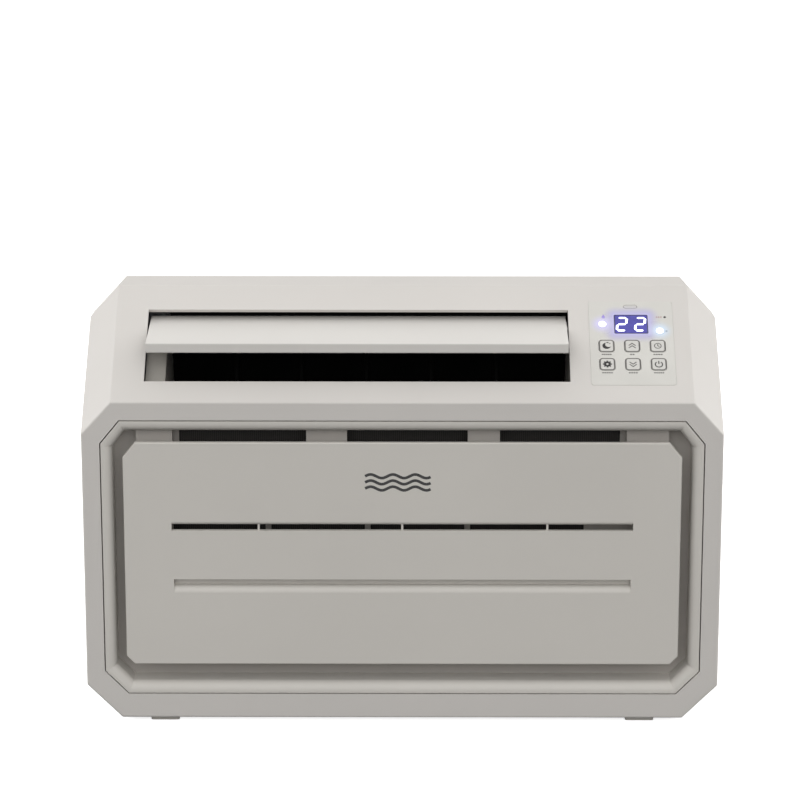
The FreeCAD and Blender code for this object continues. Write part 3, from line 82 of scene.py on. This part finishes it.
def face_height(node):
    """Height of a node's outer face over the film's middle."""
    centre = middle("control_film")
    piece = frame["nodes"][node]
    return max(
        (piece.matrix_world @ vertex.co - centre).dot(OUT) for vertex in piece.data.vertices
    )


# ---------------------------------------------------------------- materials

def tone(red, green, blue):
    """A colour as it looks on a screen, 0 to 255, as the linear colour a shader takes."""
    def linear(level):
        level /= 255
        return level / 12.92 if level <= 0.04045 else ((level + 0.055) / 1.055) ** 2.4
    return linear(red), linear(green), linear(blue), 1.0


def darker(colour, share):
    return tuple(level * share for level in colour[:3]) + (1.0,)


class Surface:
    """A material being built: one shader with textures for colour, roughness and relief."""

    def __init__(self, name, roughness, metallic=0.0):
        self.material = bpy.data.materials.new(name)
        self.material.use_nodes = True
        self.nodes = self.material.node_tree.nodes
        self.links = self.material.node_tree.links
        self.shader = self.nodes["Principled BSDF"]
        self.shader.inputs["Metallic"].default_value = metallic
        self.shader.inputs["Roughness"].default_value = roughness
        self.place = self.nodes.new("ShaderNodeTexCoord").outputs["Object"]
        self.height = None

    def stretched(self, scale):
        mapping = self.nodes.new("ShaderNodeMapping")
        mapping.inputs["Scale"].default_value = scale
        self.links.new(self.place, mapping.inputs["Vector"])
        return mapping.outputs["Vector"]

    def noise(self, scale, detail=3.0, stretch=None):
        texture = self.nodes.new("ShaderNodeTexNoise")
        texture.inputs["Scale"].default_value = scale
        texture.inputs["Detail"].default_value = detail
        source = self.stretched(stretch) if stretch else self.place
        self.links.new(source, texture.inputs["Vector"])
        return texture.outputs["Fac"]

    def cells(self, scale):
        texture = self.nodes.new("ShaderNodeTexVoronoi")
        texture.inputs["Scale"].default_value = scale
        self.links.new(self.place, texture.inputs["Vector"])
        return texture.outputs["Distance"]

    def ramp(self, source, stops):
        ramp = self.nodes.new("ShaderNodeValToRGB")
        elements = ramp.color_ramp.elements
        elements[0].position, elements[0].color = stops[0]
        elements[1].position, elements[1].color = stops[-1]
        for position, colour in stops[1:-1]:
            elements.new(position).color = colour
        self.links.new(source, ramp.inputs["Fac"])
        return ramp.outputs["Color"]

    def spread(self, source, low, high):
        spread = self.nodes.new("ShaderNodeMapRange")
        spread.inputs["To Min"].default_value = low
        spread.inputs["To Max"].default_value = high
        self.links.new(source, spread.inputs["Value"])
        return spread.outputs["Result"]

    def colour(self, source, stops):
        self.links.new(self.ramp(source, stops), self.shader.inputs["Base Color"])
        return self

    def roughen(self, source, low, high):
        self.links.new(self.spread(source, low, high), self.shader.inputs["Roughness"])
        return self

    def relief(self, source, depth, strength=1.0):
        """Adds a layer of fine relief of that depth in metres."""
        bump = self.nodes.new("ShaderNodeBump")
        bump.inputs["Distance"].default_value = depth
        bump.inputs["Strength"].default_value = strength
        self.links.new(source, bump.inputs["Height"])
        if self.height:
            self.links.new(self.height, bump.inputs["Normal"])
        self.height = bump.outputs["Normal"]
        self.links.new(self.height, self.shader.inputs["Normal"])
        return self

    def glow(self, colour, strength):
        self.shader.inputs["Emission Color"].default_value = colour
        self.shader.inputs["Emission Strength"].default_value = strength
        return self


def moulded_plastic(name, colour, roughness=0.42):
    """Satin plastic with fine spark-eroded grain, slow colour drift and faint handling marks."""
    surface = Surface(name, roughness)
    drift = surface.noise(9, 4)
    surface.colour(drift, [(0.3, darker(colour, 0.965)), (0.7, colour)])
    surface.roughen(surface.noise(45, 5), roughness - 0.06, roughness + 0.08)
    surface.relief(surface.noise(2600, 2), 0.00004)
    surface.relief(surface.noise(30, 2), 0.00012, 0.35)
    surface.shader.inputs["Specular IOR Level"].default_value = 0.45
    return surface.material


def dark_plastic(name, colour, roughness=0.55, sheen=0.5):
    """Black or dark grey plastic with an uneven colour and a pebbled grain."""
    surface = Surface(name, roughness)
    surface.shader.inputs["Specular IOR Level"].default_value = sheen
    surface.colour(surface.noise(25, 4), [(0.3, darker(colour, 0.6)), (0.75, colour)])
    surface.roughen(surface.noise(90, 4), roughness - 0.1, roughness + 0.12)
    surface.relief(surface.cells(1800), 0.00004)
    return surface.material


def painted_steel(name, colour, roughness=0.4):
    """Powder coat: even colour with a fine orange-peel relief."""
    surface = Surface(name, roughness)
    surface.colour(surface.noise(14, 5), [(0.25, darker(colour, 0.93)), (0.7, colour)])
    surface.roughen(surface.noise(60, 4), roughness - 0.07, roughness + 0.1)
    surface.relief(surface.noise(420, 3), 0.00009)
    surface.relief(surface.cells(1500), 0.00002)
    surface.shader.inputs["Coat Weight"].default_value = 0.15
    return surface.material


def bare_metal(name, colour, roughness=0.32, brushed=(1, 60, 1)):
    """Rolled or drawn metal with fine brushing and dull patches."""
    surface = Surface(name, roughness, metallic=1.0)
    surface.colour(surface.noise(30, 5), [(0.3, darker(colour, 0.78)), (0.7, colour)])
    surface.roughen(surface.noise(70, 5, brushed), roughness - 0.1, roughness + 0.14)
    surface.relief(surface.noise(300, 3, brushed), 0.00003)
    return surface.material


def zinc_plate(name):
    """Galvanised sheet: crystal patches of slightly different grey."""
    surface = Surface(name, 0.45, metallic=0.9)
    surface.colour(surface.cells(220), [(0.1, tone(172, 175, 178)), (0.9, tone(192, 195, 198))])
    surface.roughen(surface.noise(80, 4), 0.4, 0.55)
    surface.relief(surface.noise(500, 3), 0.00003)
    return surface.material


def soft_rubber(name):
    """Dull black rubber with a fine rough skin."""
    surface = Surface(name, 0.75)
    surface.colour(surface.noise(60, 4), [(0.3, tone(18, 18, 18)), (0.7, tone(38, 38, 38))])
    surface.roughen(surface.noise(150, 3), 0.65, 0.85)
    surface.relief(surface.noise(900, 3), 0.00006)
    return surface.material


def filter_net(name):
    """Fine grey net: a grid of threads and holes."""
    surface = Surface(name, 0.8)
    bands = surface.nodes.new("ShaderNodeTexBrick")
    bands.inputs["Scale"].default_value = 380
    bands.inputs["Mortar Size"].default_value = 0.03
    bands.offset = 0.0
    surface.links.new(surface.place, bands.inputs["Vector"])
    surface.colour(bands.outputs["Fac"], [(0.0, tone(44, 42, 40)), (1.0, tone(84, 81, 78))])
    surface.relief(bands.outputs["Fac"], 0.0002)
    return surface.material


def circuit_board(name):
    """Green board in small patches of darker and lighter green."""
    surface = Surface(name, 0.35)
    surface.colour(surface.cells(260), [(0.2, tone(14, 60, 34)), (0.8, tone(28, 96, 54))])
    surface.roughen(surface.noise(200, 3), 0.25, 0.5)
    surface.relief(surface.cells(260), 0.00004)
    return surface.material


def cast_iron(name):
    """Stacked dark laminations."""
    surface = Surface(name, 0.6, metallic=0.4)
    layers = (1, 1, 40)
    surface.colour(surface.noise(40, 5, layers), [(0.3, tone(38, 34, 30)), (0.7, tone(82, 76, 70))])
    surface.relief(surface.noise(60, 3, layers), 0.0002)
    return surface.material


def printed_film(name):
    """Matt control film with a fine sand texture."""
    surface = Surface(name, 0.5)
    surface.colour(surface.noise(30, 4), [(0.3, tone(207, 205, 199)), (0.7, tone(212, 210, 204))])
    surface.roughen(surface.noise(300, 3), 0.42, 0.58)
    surface.relief(surface.noise(3200, 2), 0.00003)
    return surface.material


def display_glass(name):
    """Violet-tinted window that glows faintly from the digits behind it."""
    surface = Surface(name, 0.12)
    surface.colour(surface.noise(160, 3), [(0.3, tone(46, 44, 104)), (0.7, tone(66, 62, 140))])
    surface.roughen(surface.noise(200, 3), 0.08, 0.2)
    surface.relief(surface.noise(60, 2), 0.00003)
    surface.glow(tone(84, 80, 176), 0.45)
    return surface.material


def lit_plastic(name, colour, strength):
    """Diffusing plastic lit from behind."""
    surface = Surface(name, 0.3)
    surface.colour(surface.noise(400, 3), [(0.3, darker(colour, 0.9)), (0.7, colour)])
    surface.relief(surface.noise(900, 2), 0.00002)
    surface.glow(colour, strength)
    return surface.material


def ink(name, colour):
    """Printed ink, a little uneven."""
    surface = Surface(name, 0.55)
    surface.colour(surface.noise(700, 3), [(0.3, darker(colour, 0.8)), (0.7, colour)])
    surface.roughen(surface.noise(500, 2), 0.45, 0.65)
    surface.relief(surface.noise(1500, 2), 0.00001)
    return surface.material


BLOOM_POWER = 1.7  # how quickly a painted bloom of light falls off towards its edge


def bloom_material(name, colour, strength):
    """Painted light that fades out over a clear piece, from fade 1 to fade 0."""
    material = bpy.data.materials.new(name)
    material.use_nodes = True
    nodes, links = material.node_tree.nodes, material.node_tree.links
    nodes.clear()
    fade = nodes.new("ShaderNodeAttribute")
    fade.attribute_name = "fade"
    fall = nodes.new("ShaderNodeMath")
    fall.operation = "POWER"
    fall.inputs[1].default_value = BLOOM_POWER
    links.new(fade.outputs["Fac"], fall.inputs[0])
    light = nodes.new("ShaderNodeEmission")
    light.inputs["Color"].default_value = colour
    light.inputs["Strength"].default_value = strength
    clear = nodes.new("ShaderNodeBsdfTransparent")
    mix = nodes.new("ShaderNodeMixShader")
    links.new(fall.outputs["Value"], mix.inputs["Fac"])
    links.new(clear.outputs["BSDF"], mix.inputs[1])
    links.new(light.outputs["Emission"], mix.inputs[2])
    output = nodes.new("ShaderNodeOutputMaterial")
    links.new(mix.outputs["Shader"], output.inputs["Surface"])
    return material


SHELL = tone(212, 208, 203)
PLATE = tone(212, 208, 201)
FLAP = tone(214, 211, 206)


def make_materials():
    return {
        "housing_white": moulded_plastic("housing_plastic", SHELL),
        "grille_grey": moulded_plastic("ring_plastic", PLATE),
        "plate_grey": moulded_plastic("plate_plastic", PLATE),
        "flap_white": moulded_plastic("flap_plastic", FLAP, 0.36),
        "key_white": moulded_plastic("key_plastic", tone(210, 208, 203), 0.5),
        "cheek_white": moulded_plastic("cheek_plastic", tone(172, 168, 161), 0.5),
        "filter_net": filter_net("filter_net"),
        "dark_plastic": dark_plastic("vane_plastic", tone(5, 5, 5), 0.85, 0.1),
        "duct_grey": dark_plastic("duct_plastic", tone(8, 8, 8), 0.8, 0.15),
        "part_black": dark_plastic("component_plastic", tone(32, 32, 34)),
        "fan_plastic": dark_plastic("fan_plastic", tone(34, 34, 36)),
        "rubber_black": soft_rubber("rubber"),
        "motor_steel": bare_metal("motor_steel", tone(176, 178, 182)),
        "fin_aluminium": bare_metal("fin_aluminium", tone(206, 209, 212), 0.3),
        "tube_copper": bare_metal("tube_copper", tone(200, 122, 84), 0.28, (60, 1, 1)),
        "screw_steel": bare_metal("screw_steel", tone(196, 197, 199), 0.25),
        "capacitor_grey": bare_metal("capacitor_can", tone(188, 190, 192), 0.35),
        "box_steel": zinc_plate("zinc_plate"),
        "cover_paint": painted_steel("cover_paint", tone(214, 211, 204)),
        "compressor_black": painted_steel("compressor_enamel", tone(28, 28, 30), 0.3),
        "transformer_iron": cast_iron("transformer_iron"),
        "board_green": circuit_board("circuit_board"),
        "film_grey": printed_film("printed_film"),
        "window_dark": display_glass("display_glass"),
        "lens_white": moulded_plastic("lens_plastic", tone(204, 202, 198), 0.25),
    }


def dress_frame(materials):
    """Gives every CAD node the finish of its material slot, and the grille's tray a darker tone of painted shade.
    """
    # painted shade: the tray's darker tone stands in for the shadow in the grooves around the plate
    painted_shade_finishes = {"grille_tray": moulded_plastic("tray_plastic_painted_shade", tone(178, 173, 167), 0.6)}
    for entry in frame["record"]["subparts"]:
        node = frame["nodes"][entry["node"]]
        node.data.materials.clear()
        node.data.materials.append(painted_shade_finishes.get(entry["node"], materials[entry["material_slot"]]))


# ---------------------------------------------------------------- printed marks and lights

# heights over the face below, in metres
EDGE_LIFT = 0.00003
INK_LIFT = 0.00004
DIGIT_LIFT = 0.00005
WINDOW_BLOOM_LIFT = 0.00007
LENS_BLOOM_LIFT = 0.00009
LENS_CORE_LIFT = 0.00012

FACE_DEPTH = 0.0002  # corners this near a key's top belong to its face
BAR_DROP = 0.0078  # from a key's middle down to its bar

def arc(centre, radius, start, end, steps=24):
    """Points on a circle from the start angle to the end angle, in degrees."""
    turns = [math.radians(start + (end - start) * index / steps) for index in range(steps + 1)]
    return [
        (centre[0] + radius * math.cos(turn), centre[1] + radius * math.sin(turn))
        for turn in turns
    ]


def disc(radius):
    """Outline of a circle about the origin, with 24 points."""
    return arc((0, 0), radius, 0, 345, 23)


def rounded_frame(width, height, radius):
    """Outline of a rounded rectangle, anticlockwise from the right side."""
    points = []
    for sign_x, sign_y, start in ((1, -1, -90), (1, 1, 0), (-1, 1, 90), (-1, -1, 180)):
        centre = (sign_x * (width / 2 - radius), sign_y * (height / 2 - radius))
        points += arc(centre, radius, start, start + 90, 6)
    return points


def add_stroke(mesh, points, width, closed=False):
    """A flat ribbon along points, mitred at its corners."""
    points = [Vector(point) for point in points]
    count = len(points)
    sides = []
    for index, point in enumerate(points):
        before = points[index - 1] if index or closed else None
        after = points[(index + 1) % count] if index < count - 1 or closed else None
        steps = [(point - before).normalized()] if before is not None else []
        steps += [(after - point).normalized()] if after is not None else []
        direction = sum(steps, Vector((0, 0))).normalized()
        normal = Vector((-direction.y, direction.x))
        spread = width / 2 / max(0.4, direction.dot(steps[0]))
        sides.append([mesh.verts.new((point + normal * spread * side).to_3d()) for side in (-1, 1)])
    for index in range(count if closed else count - 1):
        first, second = sides[index], sides[(index + 1) % count]
        mesh.faces.new((first[0], second[0], second[1], first[1]))


def add_fill(mesh, points):
    mesh.faces.new([mesh.verts.new((x, y, 0)) for x, y in points])


def add_ring_fill(mesh, outer, inner):
    """A flat band between outlines with as many points each. Returns its inner corners."""
    outside = [mesh.verts.new((x, y, 0)) for x, y in outer]
    inside = [mesh.verts.new((x, y, 0)) for x, y in inner]
    count = len(outside)
    for index in range(count):
        following = (index + 1) % count
        mesh.faces.new((outside[index], outside[following], inside[following], inside[index]))
    return inside


def add_bloom(mesh, outer, inner, filled):
    """A clear band whose fade runs from 1 at its inner outline to 0 at its outer one."""
    fade = mesh.verts.layers.float.new("fade")
    inside = add_ring_fill(mesh, outer, inner)
    for vertex in inside:
        vertex[fade] = 1
    if filled:
        mesh.faces.new(inside)


def flat_piece(name, draw, placement, material, body):
    """A thin printed shape drawn in millimetres by draw(mesh) and put at placement."""
    mesh = bmesh.new()
    draw(mesh)
    bmesh.ops.recalc_face_normals(mesh, faces=mesh.faces)
    data = bpy.data.meshes.new(name)
    mesh.to_mesh(data)
    mesh.free()
    piece = bpy.data.objects.new(name, data)
    bpy.context.collection.objects.link(piece)
    piece.matrix_world = placement @ Matrix.Scale(MM, 4)
    data.materials.append(material)
    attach(piece, body)


def film_piece(name, draw, x, along, lift, material):
    """A flat piece on the control film, lifted off its face by that much."""
    placement = slope_frame(x, along, face_height("control_film") + lift)
    flat_piece(name, draw, placement, material, "cabinet")


def draw_moon(mesh):
    outer = arc((0, 0), 2.9, 60, 330, 20)
    inner = arc((1.5, 1.25), 2.4, 316, 95, 20)
    add_fill(mesh, outer + inner)
    add_fill(mesh, arc((2.3, 2.3), 0.45, 0, 330, 8))


def draw_up(mesh):
    add_stroke(mesh, [(-2.4, 0.2), (0, 2.3), (2.4, 0.2)], 0.6)
    add_stroke(mesh, [(-2.4, -2.0), (0, 0.1), (2.4, -2.0)], 0.6)


def draw_down(mesh):
    add_stroke(mesh, [(-2.4, 2.0), (0, -0.1), (2.4, 2.0)], 0.6)
    add_stroke(mesh, [(-2.4, -0.2), (0, -2.3), (2.4, -0.2)], 0.6)


def draw_timer(mesh):
    add_stroke(mesh, arc((0, 0), 2.3, 0, 345, 24), 0.5, closed=True)
    add_stroke(mesh, [(0, 1.5), (0, 0), (1.1, -0.7)], 0.5)


def draw_gear(mesh):
    outline = []
    for tooth in range(8):
        centre = tooth * 45
        outline += arc((0, 0), 3.2, centre - 9, centre + 9, 3)
        outline += arc((0, 0), 2.4, centre + 15, centre + 30, 3)
    hole = arc((0, 0), 0.8, -9, -9 + 360 * (len(outline) - 1) / len(outline), len(outline) - 1)
    add_ring_fill(mesh, outline, hole)


def draw_power(mesh):
    add_stroke(mesh, arc((0, -0.2), 2.5, 125, 415, 24), 0.75)
    add_stroke(mesh, [(0, 2.9), (0, 0.1)], 0.75)


# each key's body, its sign, and the length in millimetres of the bar below it
KEY_MARKS = {
    "key_sleep": ("push_sleep", draw_moon, 7.0),
    "key_up": ("push_up", draw_up, 3.4),
    "key_timer": ("push_timer", draw_timer, 6.6),
    "key_mode": ("push_mode", draw_gear, 7.6),
    "key_down": ("push_down", draw_down, 6.4),
    "key_power": ("push_power", draw_power, 7.2),
}


def key_place(node):
    """Middle of a key's face on the film, in metres, leaving out the part under the film."""
    x, _ = film_offset(node)
    key = frame["nodes"][node]
    centre = middle("control_film")
    top = face_height(node)
    steps = [key.matrix_world @ vertex.co - centre for vertex in key.data.vertices]
    rims = [step.dot(ALONG) for step in steps if step.dot(OUT) > top - FACE_DEPTH]
    return x, (min(rims) + max(rims)) / 2


def draw_key_outline(mesh):
    add_stroke(mesh, rounded_frame(9.55, 10.25, 1.8), 0.65, closed=True)


def draw_bar(mesh, length):
    """Plain broken bar in place of a key's label."""
    count = max(2, round(length / 1.5))
    for index in range(count):
        left = -length / 2 + length * index / count
        right = left + length / count * 0.75
        add_fill(mesh, [(left, -0.5), (right, -0.5), (right, 0.5), (left, 0.5)])


def print_keys(inks):
    """Outline and sign on every key, and a plain bar on the film below it."""
    for node, (body, draw, bar) in KEY_MARKS.items():
        x, along = key_place(node)
        face = slope_frame(x, along, face_height(node) + INK_LIFT)
        flat_piece(node + "_outline", draw_key_outline, face, inks["grey"], body)
        flat_piece(node + "_sign", draw, face, inks["dark"], body)
        draw_label = functools.partial(draw_bar, length=bar)
        film_piece(node + "_bar", draw_label, x, along - BAR_DROP, INK_LIFT, inks["grey"])


# bars of a 2, in millimetres from the digit's middle; both digits are the same
SEGMENTS = {
    "top": ((-2.7, 5.9), (2.7, 5.9)),
    "upper_right": ((3.1, 5.5), (3.1, 0.4)),
    "middle": ((-2.7, 0), (2.7, 0)),
    "lower_left": ((-3.1, -0.4), (-3.1, -5.5)),
    "bottom": ((-2.7, -5.9), (2.7, -5.9)),
}
SEGMENT_WIDTH = 1.5
LEAN = 0.1
DIGIT_PITCH = 12.7


def add_segment(mesh, start, end, width, shift):
    """One pointed bar of a digit, leaning to the right."""
    start, end = Vector(start), Vector(end)
    direction = (end - start).normalized()
    normal = Vector((-direction.y, direction.x)) * width / 2
    tip = direction * width / 2
    points = [
        start,
        start + tip + normal,
        end - tip + normal,
        end,
        end - tip - normal,
        start + tip - normal,
    ]
    add_fill(mesh, [(point.x + LEAN * point.y + shift, point.y) for point in points])


def draw_digits(mesh):
    for shift in (-DIGIT_PITCH / 2, DIGIT_PITCH / 2):
        for start, end in SEGMENTS.values():
            add_segment(mesh, start, end, SEGMENT_WIDTH, shift)


def light_digits(material):
    """Two glowing seven-segment digits on the window's face."""
    x, along = film_offset("display_window")
    film_piece("display_digits", draw_digits, x, along, DIGIT_LIFT, material)


WINDOW_WIDTH, WINDOW_HEIGHT, WINDOW_ROUND = 23.6, 17.8, 1.0
WINDOW_EDGE = 0.7
WINDOW_BLOOM = 9.0


def draw_window_edge(mesh):
    outer = rounded_frame(WINDOW_WIDTH, WINDOW_HEIGHT, WINDOW_ROUND)
    inner = rounded_frame(WINDOW_WIDTH - 2 * WINDOW_EDGE, WINDOW_HEIGHT - 2 * WINDOW_EDGE, 0.6)
    add_ring_fill(mesh, outer, inner)


def draw_window_bloom(mesh):
    reach = WINDOW_BLOOM
    outer = rounded_frame(
        WINDOW_WIDTH + 2 * reach, WINDOW_HEIGHT + 2 * reach, WINDOW_ROUND + reach
    )
    inner = rounded_frame(WINDOW_WIDTH, WINDOW_HEIGHT, WINDOW_ROUND)
    add_bloom(mesh, outer, inner, filled=False)


def frame_window(border):
    """Dark edge of the lit window, and a glowing clear band of painted light for the soft violet light that it
    throws on the film.
    """
    x, along = film_offset("display_window")
    film_piece("display_edge", draw_window_edge, x, along, EDGE_LIFT, border)
    # painted light: a glowing band around the window stands in for the light it throws on the film
    glow = bloom_material("window_bloom", tone(214, 210, 250), 0.9)
    film_piece("display_bloom", draw_window_bloom, x, along, WINDOW_BLOOM_LIFT, glow)


LENS_SPOT = 2.7
LENS_BLOOM = 10.0
# place of each lit indicator on the film in metres, and the colour of its painted bloom of light
LIT_LENSES = {
    "left_light": (-0.0199, 0.0176, tone(222, 218, 255)),
    "right_light": (0.0198, 0.0114, tone(220, 236, 255)),
}


def draw_lens_core(mesh):
    add_fill(mesh, disc(LENS_SPOT))


def draw_lens_bloom(mesh):
    add_bloom(mesh, disc(LENS_BLOOM), disc(LENS_SPOT * 0.6), filled=True)


def light_lenses(core):
    """Bright spot of the two lit indicators, and a wide bloom of painted light around each on the film."""
    for name, (x, along, colour) in LIT_LENSES.items():
        film_piece(name, draw_lens_core, x, along, LENS_CORE_LIFT, core)
        # painted light: a glowing clear disc stands in for the light each indicator throws on the film
        glow = bloom_material(name + "_bloom", colour, 1.1)
        film_piece(name + "_bloom", draw_lens_bloom, x, along, LENS_BLOOM_LIFT, glow)


def draw_dot(mesh):
    add_fill(mesh, disc(0.9))


def draw_bars(mesh):
    for left in (-2.0, -0.5, 1.0):
        right = left + 0.9
        add_fill(mesh, [(left, -0.7), (right, -0.7), (right, 0.7), (left, 0.7)])


def draw_drop(mesh):
    add_fill(mesh, arc((0, -0.5), 1.2, -210, 30, 16) + [(0, 2.2)])


def print_small_signs(inks):
    """Sensor dots and faint status signs on the film."""
    film_piece("timer_dot", draw_dot, 0.0237, 0.0242, INK_LIFT, inks["dark"])
    film_piece("power_dot", draw_dot, 0.0242, 0.011, INK_LIFT, inks["grey"])
    film_piece("timer_bars", draw_bars, 0.0196, 0.0242, INK_LIFT, inks["rose"])
    film_piece("cooling_drop", draw_drop, -0.0190, 0.0246, INK_LIFT, inks["violet"])


def draw_waves(mesh):
    for row in (-1, 0, 1):
        points = [
            (x * 0.9 - 22.5, row * 4.4 + 1.3 * math.sin(x * math.tau / 17)) for x in range(51)
        ]
        add_stroke(mesh, points, 2.0)


def print_plate_mark(material):
    """Three plain wavy lines of air printed on the plate."""
    low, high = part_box("grille_plate")
    place = Vector((-0.003, low[1] - INK_LIFT, high[2] - 0.0283))
    placement = Matrix((
        (1, 0, 0, place.x),
        (0, 0, -1, place.y),
        (0, 1, 0, place.z),
        (0, 0, 0, 1),
    ))
    flat_piece("plate_mark", draw_waves, placement, material, "grille")


def add_marks():
    inks = {
        "dark": ink("ink_dark", tone(48, 46, 46)),
        "grey": ink("ink_grey", tone(104, 102, 99)),
        "rose": ink("ink_rose", tone(190, 160, 158)),
        "violet": ink("ink_violet", tone(150, 128, 214)),
        "black": ink("ink_black", tone(6, 6, 6)),
    }
    print_keys(inks)
    print_small_signs(inks)
    print_plate_mark(inks["black"])
    light_digits(lit_plastic("digit_light", tone(240, 242, 255), 2.5))
    frame_window(ink("window_edge", tone(58, 56, 92)))
    light_lenses(lit_plastic("lens_light", tone(244, 246, 255), 1.3))


# ---------------------------------------------------------------- stage

def make_floor():
    """Pale paper, bright to the camera but throwing no light up under the object."""
    data = bpy.data.meshes.new("floor")
    edge = 30
    corners = [(-edge, -edge, 0), (edge, -edge, 0), (edge, edge, 0), (-edge, edge, 0)]
    data.from_pydata(corners, [], [(0, 1, 2, 3)])
    floor = bpy.data.objects.new("floor", data)
    bpy.context.collection.objects.link(floor)
    surface = Surface("floor_paper", 0.9)
    surface.colour(surface.noise(2, 3), [(0.3, tone(236, 236, 236)), (0.7, tone(242, 242, 242))])
    surface.relief(surface.noise(600, 3), 0.00005)
    surface.glow((1, 1, 1, 1), 0.72)
    data.materials.append(surface.material)
    floor.visible_diffuse = False


AIM = (0, -0.1, 0.15)  # a point inside the front of the object


def make_light(name, place, width, height, power):
    """A rectangular panel at place, turned to face the object."""
    data = bpy.data.lights.new(name, "AREA")
    data.shape = "RECTANGLE"
    data.size, data.size_y = width, height
    data.energy = power
    light = bpy.data.objects.new(name, data)
    light.location = place
    light.rotation_euler = (Vector(AIM) - Vector(place)).to_track_quat("-Z", "Y").to_euler()
    bpy.context.collection.objects.link(light)


def make_sky_light():
    """Even light from above, as from a very large overhead panel."""
    data = bpy.data.lights.new("overhead_panel", "SUN")
    data.energy = 2.6
    data.angle = math.radians(150)
    light = bpy.data.objects.new("overhead_panel", data)
    light.rotation_euler = (math.radians(4), 0, 0)
    bpy.context.collection.objects.link(light)


def make_lights():
    make_sky_light()
    make_light("front_panel", (0, -4.2, 2.0), 5.0, 3.2, 62)
    make_light("left_softbox", (-2.4, 0.6, 0.8), 1.2, 1.4, 24)
    make_light("right_softbox", (2.4, 0.6, 0.8), 1.2, 1.4, 26)
    world = bpy.data.worlds.new("studio")
    world.use_nodes = True
    world.node_tree.nodes["Background"].inputs["Color"].default_value = (1, 1, 1, 1)
    world.node_tree.nodes["Background"].inputs["Strength"].default_value = 0.05
    bpy.context.scene.world = world


CAMERA_PLACE = (0.0081, -2.471, 0.9112)
CAMERA_DIP = 16.385  # degrees below level
CAMERA_TURN = 0.24  # degrees to the left


def make_camera():
    data = bpy.data.cameras.new("camera")
    data.sensor_width = 36
    data.lens = 158.4
    data.clip_end = 100
    camera = bpy.data.objects.new("camera", data)
    camera.location = CAMERA_PLACE
    camera.rotation_euler = (math.radians(90 - CAMERA_DIP), 0, math.radians(CAMERA_TURN))
    bpy.context.collection.objects.link(camera)
    bpy.context.scene.camera = camera
    bpy.context.scene.view_settings.view_transform = "Standard"


make_camera()
make_lights()
make_floor()
dress_frame(make_materials())
add_marks()
